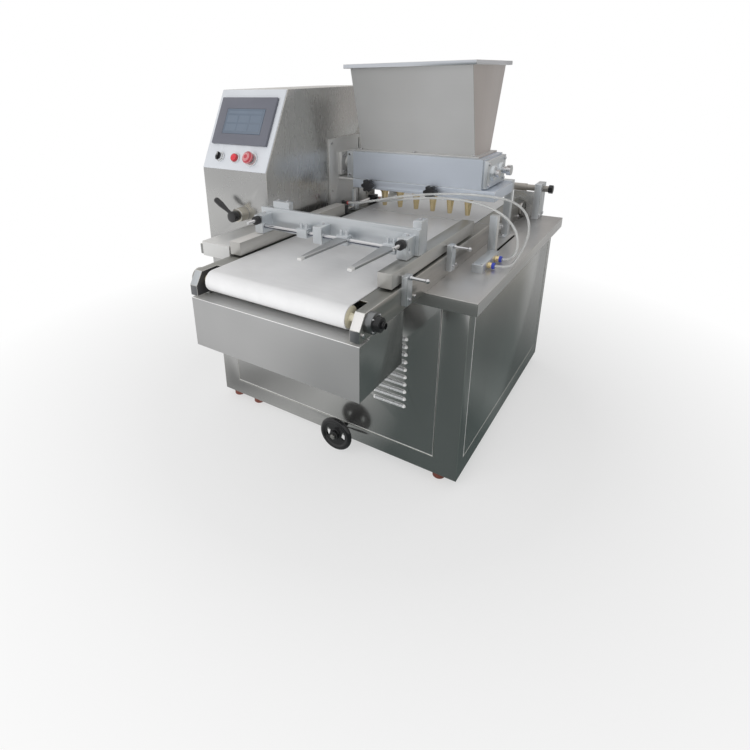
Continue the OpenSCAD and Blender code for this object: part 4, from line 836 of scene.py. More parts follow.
class Piece:
    """A mesh object on its way from raw shape to finished piece."""

    def __init__(self, obj: bpy.types.Object) -> None:
        """Keeps the object that is being shaped."""
        self.obj = obj

    @classmethod
    def from_node(cls, node: str) -> "Piece":
        """Takes a merged copy of a solid.

        Args:
            node: the solid's name in the frame.

        Returns:
            The copy, with flat areas joined into single faces.
        """
        source = frame["nodes"][node]
        obj = bpy.data.objects.new(f"{node}_finished", source.data.copy())
        obj.data.name = obj.name
        bpy.context.scene.collection.objects.link(obj)
        select_only(obj)
        bpy.ops.mesh.customdata_custom_splitnormals_clear()
        with editing(obj):
            bpy.ops.mesh.remove_doubles(threshold=WELD_GAP)
            bpy.ops.mesh.dissolve_limited(angle_limit=FLAT_ANGLE)
        return cls(obj)

    @classmethod
    def rod(cls, name: str, radius: float, height: float, sides: int = 32) -> "Piece":
        """Starts a piece from a cylinder that stands on the origin.

        Args:
            name: the piece's name.
            radius: its radius.
            height: its height.
            sides: how many sides it has.

        Returns:
            The raw piece.
        """
        bpy.ops.object.select_all(action="DESELECT")
        bpy.ops.mesh.primitive_cylinder_add(vertices=sides, radius=radius, depth=height,
                                            location=(0.0, 0.0, height / 2))
        bpy.ops.object.transform_apply(location=True, rotation=True, scale=True)
        return cls._named(name)

    @classmethod
    def slab(cls, name: str, width: float, depth: float, height: float) -> "Piece":
        """Starts a piece from a block that stands on the origin.

        Args:
            name: the piece's name.
            width: its size along X.
            depth: its size along Y.
            height: its size along Z.

        Returns:
            The raw piece.
        """
        bpy.ops.object.select_all(action="DESELECT")
        bpy.ops.mesh.primitive_cube_add(size=1.0, location=(0.0, 0.0, height / 2))
        bpy.context.active_object.scale = (width, depth, height)
        bpy.ops.object.transform_apply(location=True, rotation=True, scale=True)
        return cls._named(name)

    @classmethod
    def _named(cls, name: str) -> "Piece":
        """Takes the new primitive and names it.

        Args:
            name: the piece's name.

        Returns:
            The raw piece.
        """
        obj = bpy.context.active_object
        obj.name = name
        obj.data.name = name
        return cls(obj)

    def sink(self, margin: float, depth: float) -> "Piece":
        """Insets the top and moves what is inside up or down.

        Args:
            margin: width of the rim that stays.
            depth: how far the inside moves up, or down where it is negative.

        Returns:
            This piece.
        """
        top = max(vertex.co.z for vertex in self.obj.data.vertices)
        pick_faces(self.obj, lambda c, n: n.z > SQUARE_ON and c.z > top - TOP_LAYER)
        with editing(self.obj, False):
            bpy.ops.mesh.inset(thickness=margin, depth=0.0)
            bpy.ops.mesh.extrude_region_move(TRANSFORM_OT_translate={"value": (0.0, 0.0, depth)})
        return self

    def bore(self, margin: float) -> "Piece":
        """Cuts a hole from top to bottom.

        Args:
            margin: width of the ring that stays.

        Returns:
            This piece.
        """
        pick_faces(self.obj, lambda c, n: abs(n.z) > SQUARE_ON)
        with editing(self.obj, False):
            bpy.ops.mesh.inset(thickness=margin, depth=0.0)
            bpy.ops.mesh.bridge_edge_loops()
            bpy.ops.mesh.select_all(action="SELECT")
            bpy.ops.mesh.normals_make_consistent(inside=False)
        return self

    def place(self, spot: Point, facing: Facing) -> "Piece":
        """Turns the piece and moves it to its place, all within its mesh.

        Args:
            spot: its place.
            facing: which way its top points.

        Returns:
            This piece.
        """
        select_only(self.obj)
        self.obj.matrix_world = Matrix.Translation(spot) @ facing.turn()
        bpy.ops.object.transform_apply(location=True, rotation=True, scale=True)
        return self

    def twin(self, name: str) -> "Piece":
        """Copies the piece, with a mesh of its own.

        Args:
            name: the copy's name.

        Returns:
            The copy.
        """
        obj = bpy.data.objects.new(name, self.obj.data.copy())
        obj.data.name = name
        bpy.context.scene.collection.objects.link(obj)
        return Piece(obj)

    def discard(self) -> None:
        """Removes a piece that was only a pattern for copies."""
        bpy.data.objects.remove(self.obj)

    def relieve(self, test: FaceTest, gap: float) -> "Piece":
        """Moves the faces that pass a test inward.

        Args:
            test: says of a face's centre and normal whether it is wanted.
            gap: how far they move.

        Returns:
            This piece.
        """
        pick_faces(self.obj, test)
        with editing(self.obj, False):
            bpy.ops.transform.shrink_fatten(value=-gap)
        return self

    def run_on(self, flange: Flange) -> "Piece":
        """Draws a folded edge further out, with mitred ends.

        Args:
            flange: which edge, and how far.

        Returns:
            This piece.
        """
        pick_faces(self.obj, flange.test)
        with editing(self.obj, False):
            outwards = {"value": (0.0, flange.run, 0.0)}
            bpy.ops.mesh.extrude_region_move(TRANSFORM_OT_translate=outwards)
            bpy.ops.transform.resize(value=(flange.taper, 1.0, 1.0))
        return self

    def cut_level(self, height: float) -> "Piece":
        """Cuts the faces along a level line, without parting them.

        Args:
            height: height of the line.

        Returns:
            This piece.
        """
        with editing(self.obj):
            bpy.ops.mesh.bisect(plane_co=(0.0, 0.0, height), plane_no=(0.0, 0.0, 1.0))
        return self

    def round_edges(self, width: float, steps: int = 2, limit: float = 40.0, slot: int = -1) -> "Piece":
        """Rounds the sharp edges.

        Args:
            width: width of the rounding.
            steps: segments across it.
            limit: least angle of an edge that is rounded, in degrees.
            slot: material slot of the rounded edges, or -1 for that of their neighbours.

        Returns:
            This piece.
        """
        select_only(self.obj)
        bevel = self.obj.modifiers.new("rounded edges", "BEVEL")
        bevel.width = width
        bevel.segments = steps
        bevel.limit_method = "ANGLE"
        bevel.angle_limit = math.radians(limit)
        bevel.use_clamp_overlap = False
        bevel.material = slot
        bpy.ops.object.modifier_apply(modifier=bevel.name)
        return self

    def smooth(self, limit: float = 28.0) -> "Piece":
        """Shades round areas smooth and leaves corners sharp.

        Args:
            limit: least angle of a sharp corner, in degrees.

        Returns:
            This piece.
        """
        select_only(self.obj)
        bpy.ops.object.shade_smooth_by_angle(angle=math.radians(limit))
        return self

    def finish(self, *finishes: Finish) -> "Piece":
        """Fills the material slots in order.

        Args:
            finishes: the finish of each slot.

        Returns:
            This piece.
        """
        self.obj.data.materials.clear()
        for each in finishes:
            self.obj.data.materials.append(each.material())
        return self

    def paint(self, slot: int, test: FaceTest) -> "Piece":
        """Gives the faces that pass a test another material slot.

        Args:
            slot: the slot's number.
            test: says of a face's centre and normal whether it is wanted.

        Returns:
            This piece.
        """
        for face in self.obj.data.polygons:
            if test(face.center, face.normal):
                face.material_index = slot
        return self

    def hang(self, body: str, slot: str) -> bpy.types.Object:
        """Hangs the piece on a body.

        Args:
            body: the body that carries it.
            slot: the record's material slot; not used.

        Returns:
            The finished object.
        """
        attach(self.obj, body)
        log.info("%s on %s, %d faces", self.obj.name, body, len(self.obj.data.polygons))
        return self.obj


def slot_of(node: str) -> str:
    """The material slot that the record gives a solid."""
    rows = frame["record"]["subparts"]
    return next(row["material_slot"] for row in rows if row["node"] == node)


def body_of(node: str) -> str:
    """The body that carries a solid."""
    return frame["nodes"][node]["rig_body"]


def dress(plan: Dressing) -> bpy.types.Object:
    """Softens and finishes one solid, and puts the result in its place.

    Args:
        plan: what to do with it.

    Returns:
        The piece that now stands for the solid.
    """
    piece = Piece.from_node(plan.node)
    if plan.journals is not None:
        piece.relieve(plan.journals, RUNNING_GAP)
    if plan.flange is not None:
        piece.run_on(plan.flange)
    if plan.hem is not None:
        piece.cut_level(plan.hem)
    finishes = [plan.finish]
    edge_slot = -1
    if plan.edge_finish is not None:
        finishes.append(plan.edge_finish)
        edge_slot = 1
    first_patch = len(finishes)
    finishes.extend(patch.finish for patch in plan.patches + plan.trims)
    piece.finish(*finishes)
    piece.obj.data.polygons.foreach_set("material_index", [0] * len(piece.obj.data.polygons))
    for number, patch in enumerate(plan.patches):
        piece.paint(first_patch + number, patch.test)
    if plan.edge:
        piece.round_edges(plan.edge, plan.steps, plan.limit, edge_slot)
    for number, trim in enumerate(plan.trims):
        piece.paint(first_patch + len(plan.patches) + number, trim.test)
    piece.smooth()
    obj = piece.hang(body_of(plan.node), slot_of(plan.node))
    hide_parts(plan.node)
    return obj


@dataclass
class SubAssembly:
    """Pieces that belong together. A subclass lists its dressed solids and adds its own pieces."""

    def dressings(self) -> list[Dressing]:
        """The solids of this sub-assembly and how each is finished."""
        return []

    def extras(self) -> None:
        """Pieces that have no solid of their own."""

    def build(self) -> None:
        """Makes everything in this sub-assembly."""
        for plan in self.dressings():
            dress(plan)
        self.extras()

    def socket_screw(self, name: str, size: Pair) -> Piece:
        """Models one screw with a round head and a sunk socket.

        Args:
            name: name of the pattern.
            size: radius and height of the head.

        Returns:
            The screw, standing on the origin, its socket in the second finish.
        """
        radius, height = size
        wall, edge = 0.42 * radius, 0.1 * radius
        sunk, inside = 0.6 * height, 0.7 * height
        screw = Piece.rod(name, radius, height, sides=24).sink(wall, -sunk).round_edges(edge).smooth()
        screw.finish(Finishes.BRIGHT, Finishes.BEARING)
        return screw.paint(1, lambda c, n: n.z > SQUARE_ON and c.z < inside)

    def hex_nut(self, name: str, size: Pair, finish: Finish) -> Piece:
        """Models one hexagonal nut with a turned top.

        Args:
            name: name of the pattern.
            size: radius over its corners, and its height.
            finish: what it is made of.

        Returns:
            The nut, standing on the origin.
        """
        radius, height = size
        chamfer, rise, edge = 0.16 * radius, 0.08 * height, 0.06 * radius
        nut = Piece.rod(name, radius, height, sides=6).sink(chamfer, rise)
        return nut.round_edges(edge, limit=25.0).smooth().finish(finish)

    def flat_ring(self, name: str, size: Pair, wall: float, edge: float, sides: int,
                  finish: Finish) -> Piece:
        """Models one flat ring with rounded edges.

        Args:
            name: name of the pattern.
            size: its outer radius and its height.
            wall: its width from bore to rim.
            edge: width of its rounded edges.
            sides: how many sides it has.
            finish: what it is made of.

        Returns:
            The ring, lying on the origin.
        """
        radius, height = size
        ring = Piece.rod(name, radius, height, sides).bore(wall)
        return ring.round_edges(edge).smooth().finish(finish)

    def screw_in(self, name: str, size: Pair, spots: Sequence[Point], facing: Facing, carrier: str) -> None:
        """Sets socket screws of one size in the solid that carries them."""
        self.set_in(self.socket_screw(name, size), spots, facing, carrier)

    def set_in(self, pattern: Piece, spots: Sequence[Point], facing: Facing, carrier: str) -> None:
        """Puts a copy of a small piece at each of several places.

        Args:
            pattern: the piece, which is used up.
            spots: the places.
            facing: which way each copy points.
            carrier: the solid that carries them.
        """
        name = pattern.obj.name
        pattern.obj.name = name + "_pattern"
        for number, spot in enumerate(spots, 1):
            copy = pattern.twin(f"{name}_{number}").place(spot, facing)
            copy.hang(body_of(carrier), slot_of("hex_bolts"))
        pattern.discard()


# Studio


BLACK = (0.0, 0.0, 0.0)
WHITE = (1.0, 1.0, 1.0)


@dataclass
class Studio:
    """Camera, floor, light and what the steel mirrors.

    Attributes:
        eye: place of the camera.
        look: direction of the camera.
        roll: turn of the camera about its own axis, in degrees.
        focal_px: focal length in pixels of the picture.
        centre_px: principal point in pixels of the picture.
        picture_px: side of the square picture in pixels.
        sensor: width of the camera's sensor in millimetres.
        sight: how far the camera sees.
        floor_side: side of the floor.
        floor_shade: colour of the floor itself.
        floor_dullness: its roughness.
        fade: distances from the middle between which the floor runs into white.
        fade_share: share of white at each of them.
        ahead: tones of the mirrored floor right of the machine's front, by distance.
        ahead_reach: distances that these tones lie between.
        beside: tones of the mirrored floor along the machine's right side, from front to back.
        beside_reach: places along Y that these tones lie between.
        corner: places along Y between which the one row of tones goes over into the other.
        left: tones of the mirrored floor on the left, outwards.
        left_reach: places along X that these tones lie between.
        tray_shadow: middle of the catch tray's shadow in the mirrored floor.
        shadow_reach: distances from that middle between which the shadow ends.
        shadow_share: share of the floor's own tone at each of them.
        parting: places along X between which the left tones go over into the right ones.
        parting_slant: how far that parting moves right for each metre back.
        wall_left: tone of the room at the back on the left.
        wall_back: tone of the room at the back.
        wall_front: tone of the room in front.
        ceiling: tone of the room above.
        left_turn: directions along X between which the left tone goes over into that of the back.
        back_turn: directions along Y between which the front goes over into the back.
        up_turn: directions along Z between which the walls go over into the ceiling.
        soft_light: strength of the light from all around.
        lamp_place: where the soft lamp hangs.
        lamp_aim: the point that it faces.
        lamp_side: its side.
        lamp_power: its power in watts.
    """

    eye: Point = (0.8887, -1.5399, 1.1995)
    look: Point = (-0.53350, 0.76532, -0.36009)
    roll: float = -1.333
    focal_px: float = 515.578
    centre_px: Pair = (327.523, 276.311)
    picture_px: float = 750.0
    sensor: float = 36.0
    sight: float = 100.0
    floor_side: float = 40.0
    floor_shade: Colour = (0.88, 0.88, 0.88)
    floor_dullness: float = 0.9
    fade: Pair = (0.8, 1.9)
    fade_share: Pair = (0.5, 1.0)
    ahead: Stops = ((0.0, (0.082, 0.102, 0.099)), (1.0, (0.105, 0.122, 0.118)))
    ahead_reach: Pair = (0.5, 2.1)
    beside: Stops = (
        (0.0, (0.070, 0.090, 0.087)), (0.1, (0.155, 0.176, 0.171)), (0.24, (0.112, 0.130, 0.126)),
        (0.38, (0.122, 0.139, 0.134)), (0.57, (0.180, 0.188, 0.181)), (0.86, (0.270, 0.270, 0.255)),
        (1.0, (0.350, 0.345, 0.325)))
    beside_reach: Pair = (0.0, 2.1)
    corner: Pair = (-0.3, -0.1)
    left: Stops = ((0.0, (0.52, 0.525, 0.52)), (0.3, (0.67, 0.67, 0.67)), (1.0, (0.77, 0.77, 0.77)))
    left_reach: Pair = (-0.2, -2.2)
    tray_shadow: Point = (-0.52, -0.40, 0.0)
    shadow_reach: Pair = (0.05, 0.32)
    shadow_share: Pair = (0.5, 1.0)
    parting: Pair = (0.0, 0.33)
    parting_slant: float = 0.3
    wall_left: Colour = (0.80, 0.78, 0.755)
    wall_back: Colour = (0.47, 0.45, 0.435)
    wall_front: Colour = (0.64, 0.64, 0.645)
    ceiling: Colour = (0.86, 0.86, 0.86)
    left_turn: Pair = (-0.58, -0.36)
    back_turn: Pair = (-0.25, 0.3)
    up_turn: Pair = (0.36, 0.85)
    soft_light: float = 0.60
    lamp_place: Point = (-0.6, -3.0, 1.9)
    lamp_aim: Point = (0.0, 0.0, 0.75)
    lamp_side: float = 2.4
    lamp_power: float = 40.0

    def camera(self) -> None:
        """Sets the camera that sees the machine as the photograph does."""
        data = bpy.data.cameras.new("photo camera")
        data.sensor_width = self.sensor
        data.sensor_fit = "HORIZONTAL"
        data.lens = self.focal_px / self.picture_px * data.sensor_width
        data.shift_x = 0.5 - self.centre_px[0] / self.picture_px
        data.shift_y = self.centre_px[1] / self.picture_px - 0.5
        data.clip_end = self.sight
        camera = bpy.data.objects.new("photo camera", data)
        bpy.context.scene.collection.objects.link(camera)
        turn = Vector(self.look).to_track_quat("-Z", "Y").to_matrix()
        spin = Matrix.Rotation(math.radians(self.roll), 3, "Z")
        camera.matrix_world = Matrix.Translation(self.eye) @ (turn @ spin).to_4x4()
        bpy.context.scene.camera = camera

    def mirrored_floor(self, board: NodeBoard, place: Socket) -> Socket:
        """The floor as the steel mirrors it, darker on the right and paler on the left.

        Args:
            board: the floor's board.
            place: the place on the floor.

        Returns:
            Its colour.
        """
        axes = board.add("SeparateXYZ")
        board.wire(place, axes.inputs[0])
        x, y = axes.outputs["X"], axes.outputs["Y"]
        ahead = board.ramp(board.spread(board.distance(place), *self.ahead_reach), self.ahead)
        beside = board.ramp(board.spread(y, *self.beside_reach), self.beside)
        right = board.blend(board.spread(y, *self.corner), ahead, beside)
        near = board.distance(place, self.tray_shadow)
        shaded = board.spread(near, *self.shadow_reach, *self.shadow_share)
        left = board.blend(shaded, BLACK, board.ramp(board.spread(x, *self.left_reach), self.left))
        slanted = board.math("SUBTRACT", x, board.math("MULTIPLY", y, self.parting_slant))
        return board.blend(board.spread(slanted, *self.parting), left, right)

    def floor(self) -> None:
        """Lays the pale floor, which runs into white and shows in the steel as a darker shop floor."""
        bpy.ops.object.select_all(action="DESELECT")
        bpy.ops.mesh.primitive_plane_add(size=self.floor_side, location=(0.0, 0.0, CAD_BOX[0][2]))
        plane = bpy.context.active_object
        plane.name = "studio_floor"
        material, board, shader = new_material("pale studio floor")
        shader.inputs["Base Color"].default_value = (*self.floor_shade, 1.0)
        shader.inputs["Roughness"].default_value = self.floor_dullness
        shader.inputs["Specular IOR Level"].default_value = 0.0
        place = board.place()
        white = board.add("Emission", {"Color": (*WHITE, 1.0), "Strength": 1.0})
        fading = board.spread(board.distance(place), *self.fade, *self.fade_share)
        seen = board.mix_shaders(fading, shader.outputs[0], white.outputs[0])
        mirrored = board.add("Emission", {"Strength": 1.0})
        board.wire(self.mirrored_floor(board, place), mirrored.inputs["Color"])
        glossy = board.add("LightPath").outputs["Is Glossy Ray"]
        out = next(n for n in material.node_tree.nodes if n.type == "OUTPUT_MATERIAL")
        board.wire(board.mix_shaders(glossy, seen, mirrored.outputs[0]), out.inputs["Surface"])
        plane.data.materials.append(material)

    def surroundings(self) -> None:
        """White for the eye, even soft light, and a workshop's tones for what the steel mirrors."""
        world = bpy.data.worlds.new("studio")
        bpy.context.scene.world = world
        world.use_nodes = True
        board = NodeBoard(world.node_tree)
        back = next(n for n in world.node_tree.nodes if n.type == "BACKGROUND")
        axes = board.add("SeparateXYZ")
        board.wire(board.add("TexCoord").outputs["Generated"], axes.inputs[0])
        from_left = board.spread(axes.outputs["X"], *self.left_turn)
        behind = board.blend(from_left, self.wall_left, self.wall_back)
        around = board.blend(board.spread(axes.outputs["Y"], *self.back_turn), self.wall_front, behind)
        mirrored = board.blend(board.spread(axes.outputs["Z"], *self.up_turn), around, self.ceiling)
        rays = board.add("LightPath")
        seen = board.blend(rays.outputs["Is Camera Ray"], (self.soft_light,) * 3, WHITE)
        colour = board.blend(rays.outputs["Is Glossy Ray"], seen, mirrored)
        board.wire(colour, back.inputs["Color"])
        back.inputs["Strength"].default_value = 1.0

    def lamp(self) -> None:
        """Hangs one soft square lamp in front, which doesn't show in the steel."""
        data = bpy.data.lights.new("front softbox", "AREA")
        data.size = self.lamp_side
        data.energy = self.lamp_power
        lamp = bpy.data.objects.new("front softbox", data)
        bpy.context.scene.collection.objects.link(lamp)
        way = Vector(self.lamp_aim) - Vector(self.lamp_place)
        turn = way.to_track_quat("-Z", "Y").to_matrix().to_4x4()
        lamp.matrix_world = Matrix.Translation(self.lamp_place) @ turn
        lamp.visible_glossy = False

    def build(self) -> None:
        """Makes the whole studio."""
        self.camera()
        self.floor()
        self.surroundings()
        self.lamp()
        view = bpy.context.scene.view_settings
        view.view_transform = "Standard"
        view.look = "None"


# Air hoses


@dataclass
class AirHoses:
    """Two free air hoses, from the right air cylinder in an arch to the left one.

    Attributes:
        diameter: outside diameter of a hose.
        steps: straight steps from one point of a hose to the next.
        roundness: fineness of its round section.
        outer: points of the outer hose, in millimetres from the middle, the base's front and the floor.
        inner: points of the inner hose.
    """

    diameter: float = 8.0 * MM
    steps: int = 6
    roundness: int = 5
    outer: tuple[Point, ...] = (
        (471, 240, 659.5), (486, 242, 659.5), (499, 250, 659.5), (507, 262, 659.5), (511, 277, 659.5),
        (511, 310, 660), (510, 345, 664), (510, 380, 672), (511, 415, 686), (510, 447, 709),
        (504, 470, 740), (489, 474, 774), (466, 456, 803), (436, 420, 824), (400, 388, 834),
        (355, 373, 838), (300, 368, 837), (240, 362, 832), (180, 356, 825), (120, 353, 815),
        (60, 351, 802), (0, 353, 786), (-55, 360, 772), (-100, 370, 761), (-134, 372, 759))
    inner: tuple[Point, ...] = (
        (471, 310, 659.5), (485, 311, 661), (498, 313, 668), (507, 316, 680), (511, 320, 697),
        (509, 326, 722), (499, 332, 749), (478, 338, 774), (446, 342, 796), (405, 344, 811),
        (360, 344, 820), (310, 342, 824), (255, 341, 823), (200, 343, 818), (145, 349, 809),
        (95, 360, 798), (50, 376, 787), (8, 398, 775), (-30, 428, 764), (-60, 462, 754),
        (-76, 496, 747), (-79, 525, 742), (-79, 552, 738), (-84, 577, 734), (-100, 594, 731),
        (-125, 601, 730))

    def hose(self, name: str, route: Sequence[Point], node: str) -> None:
        """Lays one hose.

        Args:
            name: name of the piece.
            route: its points.
            node: the solid that it stands for.
        """
        path = [Vector(at(*point)) for point in route]
        padded = [2 * path[0] - path[1], *path, 2 * path[-1] - path[-2]]
        curve = bpy.data.curves.new(name, "CURVE")
        curve.dimensions = "3D"
        curve.resolution_u = self.steps
        curve.bevel_depth = self.diameter / 2
        curve.bevel_resolution = self.roundness
        curve.use_fill_caps = True
        spline = curve.splines.new("BEZIER")
        spline.bezier_points.add(len(path) - 1)
        for number, knot in enumerate(spline.bezier_points):
            before, here, after = padded[number:number + 3]
            knot.co = (before + 4 * here + after) / 6
            knot.handle_left_type = knot.handle_right_type = "FREE"
            knot.handle_left = (before + 2 * here) / 3
            knot.handle_right = (2 * here + after) / 3
        hose = bpy.data.objects.new(name, curve)
        bpy.context.scene.collection.objects.link(hose)
        curve.materials.append(Finishes.HOSE.material())
        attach(hose, body_of(node))
        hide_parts(node)
        length = self.length(spline)
        log.info("%s is %.3f m long", name, length)

    def length(self, spline: bpy.types.Spline, chords: int = 24) -> float:
        """Measures a curve along short chords.

        Args:
            spline: the curve.
            chords: how many points to take from one knot to the next.

        Returns:
            Its length.
        """
        knots = spline.bezier_points
        total = 0.0
        for one, two in zip(knots, knots[1:]):
            chain = interpolate_bezier(one.co, one.handle_right, two.handle_left, two.co, chords)
            total += sum((b - a).length for a, b in zip(chain, chain[1:]))
        return total

    def build(self) -> None:
        """Lays both hoses."""
        self.hose("air_hose_outer", self.outer, "hose_outer")
        self.hose("air_hose_inner", self.inner, "hose_inner")


# Sub-assemblies


@dataclass
class Base(SubAssembly):
    """Base cabinet with its panels, feet, table top and handwheel.

    Attributes:
        hub_face: middle of the front of the handwheel's hub.
        hub_nut: radius and height of the nut on the hub.
        front_face: plane that the louvres stand out of, along Y.
        louvre_ends: where the straight part of the louvres starts and ends, along X.
        panel_hem: height of the top of the front panel's lower edge, which is painted as a highlight.
    """

    hub_face: Point = at(86.0, -75.0, 82.0)
    hub_nut: Pair = (9.5 * MM, 6.0 * MM)
    front_face: float = -0.3025
    louvre_ends: Pair = (0.2034, 0.3026)
    panel_hem: float = 0.0966

    def dressings(self) -> list[Dressing]:
        """The solids of the base.

        Returns:
            How each of them is finished.
        """
        sheet = Finishes.SMOOTH_SHEET
        # Rounded edges of the base cabinet and table: polished, and painted paler as a highlight.
        edge = Finishes.POLISHED_EDGE_AND_HIGHLIGHT
        # Painted highlight: the rounded edges of the front and side panels.
        fold = Finishes.FOLD_HIGHLIGHT
        low, high = self.louvre_ends
        # Painted reflection on the louvre hoods, and painted highlights on their round ends.
        louvre_hood_reflections = Patch(Finishes.LOUVRE_REFLECTION, lambda c, n: c.y < self.front_face)
        louvre_end_highlights = Patch(Finishes.LOUVRE_END_HIGHLIGHT, lambda c, n: c.y < self.front_face and not low < c.x < high)
        # Painted highlight: the strip of the front panel below the hem cut.
        hem = Patch(fold, lambda c, n: c.z < self.panel_hem)
        # Painted shade: the front faces of the table's lip are darker than the table.
        lip = Patch(Finishes.TABLE_LIP_SHADE, lambda c, n: n.y < -SQUARE_ON)
        return [
            Dressing("base_cabinet", sheet, 1.5 * MM, edge),
            Dressing("front_panel", sheet, 0.6 * MM, fold, patches=(louvre_hood_reflections, louvre_end_highlights, hem), hem=self.panel_hem),
            Dressing("side_panel", sheet, 1.0 * MM, fold),
            Dressing("table_top", Finishes.TABLE, 1.2 * MM, edge, patches=(lip,)),
            Dressing("feet", Finishes.FOOT, 1.0 * MM),
            Dressing("handwheel", Finishes.BAKELITE, 2.0 * MM, steps=3),
        ]

    def extras(self) -> None:
        """The nut that holds the handwheel."""
        nut = self.hex_nut("handwheel_nut", self.hub_nut, Finishes.STEEL)
        self.set_in(nut, [self.hub_face], Facing.FRONT, "handwheel")


@dataclass
class Conveyor(SubAssembly):
    """Side beams, belt, rollers, bearings, catch tray, rails and shelf.

    Attributes:
        bearing_face: middle of the outer face of the capped bearing's housing.
        bolt_circle: radius of the circle of bolts on that face.
        bolt: radius and height of a bolt there.
        cap_start: where the bearing's cap begins, along X.
        cap_face: outer face of that cap, along X.
        hub: radius and height of the hub in the cap.
        hub_dish: rim and depth of the dish in the hub.
        hub_pin: gap around the pin in that dish, and the pin's height.
        hub_edge: width of the hub's rounded edges.
        hub_top: height above which the hub is the end of its pin.
        nose_start: place behind which a beam is no longer its nose, along Y.
        nose_tilt: limits of the normal along Y and Z on the slope of a nose.
        fold_level: height just under the top of the tray's fold.
        fold_sheet: thickness of the fold's sheet.
        fold_tilt: limits of the normal along Y and Z on the fold's rounded edge.
        fold_end: place just in front of the end of that fold, along Y.
        fold_run: how far the fold runs on under the belt.
        fold_taper: width of its far end as a share of the near one.
        belt_sides: where the belt starts and ends, along X.
        stub_tilt: limit of the normal along X on a roller's round journals.
        rail_floor: height of the underside of the rails.
        clamp_face: place of the outer face of the rail clamps, along X.
        clamp_rows: places of the two clamps behind the base's front.
        clamp_screw: radius and height of the screw in each clamp.
        clamp_screw_level: height of that screw above the floor.
    """

    bearing_face: Point = (386.0, -332.0, 686.0)
    bolt_circle: float = 22.0
    bolt: Pair = (2.8 * MM, 2.8 * MM)
    cap_start: float = 0.3865
    cap_face: float = 401.0
    hub: Pair = (9.0 * MM, 6.0 * MM)
    hub_dish: Pair = (3.0 * MM, -2.0 * MM)
    hub_pin: Pair = (2.0 * MM, 3.5 * MM)
    hub_edge: float = 0.6 * MM
    hub_top: float = 7.0 * MM
    nose_start: float = -0.62
    nose_tilt: Pair = (-0.3, 0.2)
    fold_level: float = 0.6385
    fold_sheet: float = 2.0 * MM
    fold_tilt: Pair = (-0.2, 0.2)
    fold_end: float = -0.634
    fold_run: float = 42.0 * MM
    fold_taper: float = 0.98
    belt_sides: Pair = (-0.1275, 0.3215)
    stub_tilt: float = 0.1
    rail_floor: float = 0.7178
    clamp_face: float = 384.0
    clamp_rows: Pair = (-161.0, 125.0)
    clamp_screw: Pair = (4.5 * MM, 3.5 * MM)
    clamp_screw_level: float = 680.0

    def leans(self, normal: Vector, tilt: Pair) -> bool:
        """Whether a face leans to the front and up by more than a limit along Y and Z."""
        return normal.y < tilt[0] and normal.z > tilt[1]

    def dressings(self) -> list[Dressing]:
        """The solids of the conveyor.

        Returns:
            How each of them is finished.
        """
        # Rounded edges of the beams and shelf: polished, and painted paler as a highlight.
        edge = Finishes.POLISHED_EDGE_AND_HIGHLIGHT
        cap = Patch(Finishes.BEARING, lambda c, n: c.x > self.cap_start)
        flat = Patch(Finishes.STEEL, lambda c, n: c.x < 0.0 or c.y > 0.0)
        pads = Patch(Finishes.RUBBER, lambda c, n: c.z < self.rail_floor)
        # Painted shade: the tops of the beams take a darker copy of the beam finish.
        tops = Patch(Finishes.BEAM_TOP_SHADE, lambda c, n: n.z > SQUARE_ON)
        # Painted shade: the inner face of the left beam is near-black.
        inside = Patch(Finishes.BEAM_INSIDE_SHADE, lambda c, n: n.x > SQUARE_ON and c.x < 0.0)
        # Painted highlight on the sloped faces of the beams' noses.
        nose_highlights = Patch(Finishes.NOSE_HIGHLIGHT, lambda c, n: c.y < self.nose_start and self.leans(n, self.nose_tilt))
        # Painted reflection: the front faces of the noses are dark, as if mirroring a dark floor.
        chin_dark_reflections = Patch(Finishes.NOSE_DARK_REFLECTION, lambda c, n: c.y < self.nose_start and n.y < -SQUARE_ON)
        lip = Patch(Finishes.FOLD, lambda c, n: n.z > SQUARE_ON and c.z > self.fold_level)
        face = Patch(Finishes.TRAY, lambda c, n: n.y < -SQUARE_ON)
        # Painted highlight along the rounded top front edge of the tray's fold.
        rim = Patch(Finishes.FOLD_HIGHLIGHT,
                    lambda c, n: c.z > self.fold_level and self.leans(n, self.fold_tilt))
        under = Flange(lambda c, n: n.y > SQUARE_ON and c.z > self.fold_level - self.fold_sheet
                       and self.fold_end < c.y < self.nose_start, self.fold_run, self.fold_taper)
        # The left nose's slope is painted lighter too, in the milled aluminium finish, but less than the
        # right one's painted highlight.
        left_nose_highlight = Patch(Finishes.ALLOY, lambda c, n: nose_highlights.test(c, n) and c.x < 0.0)
        # Painted reflection: the top of the left rail is paler than the rest of the rail.
        left_rail_top_reflection = Patch(Finishes.RAIL_TOP_REFLECTION, lambda c, n: n.z > SQUARE_ON and c.x < 0.0)
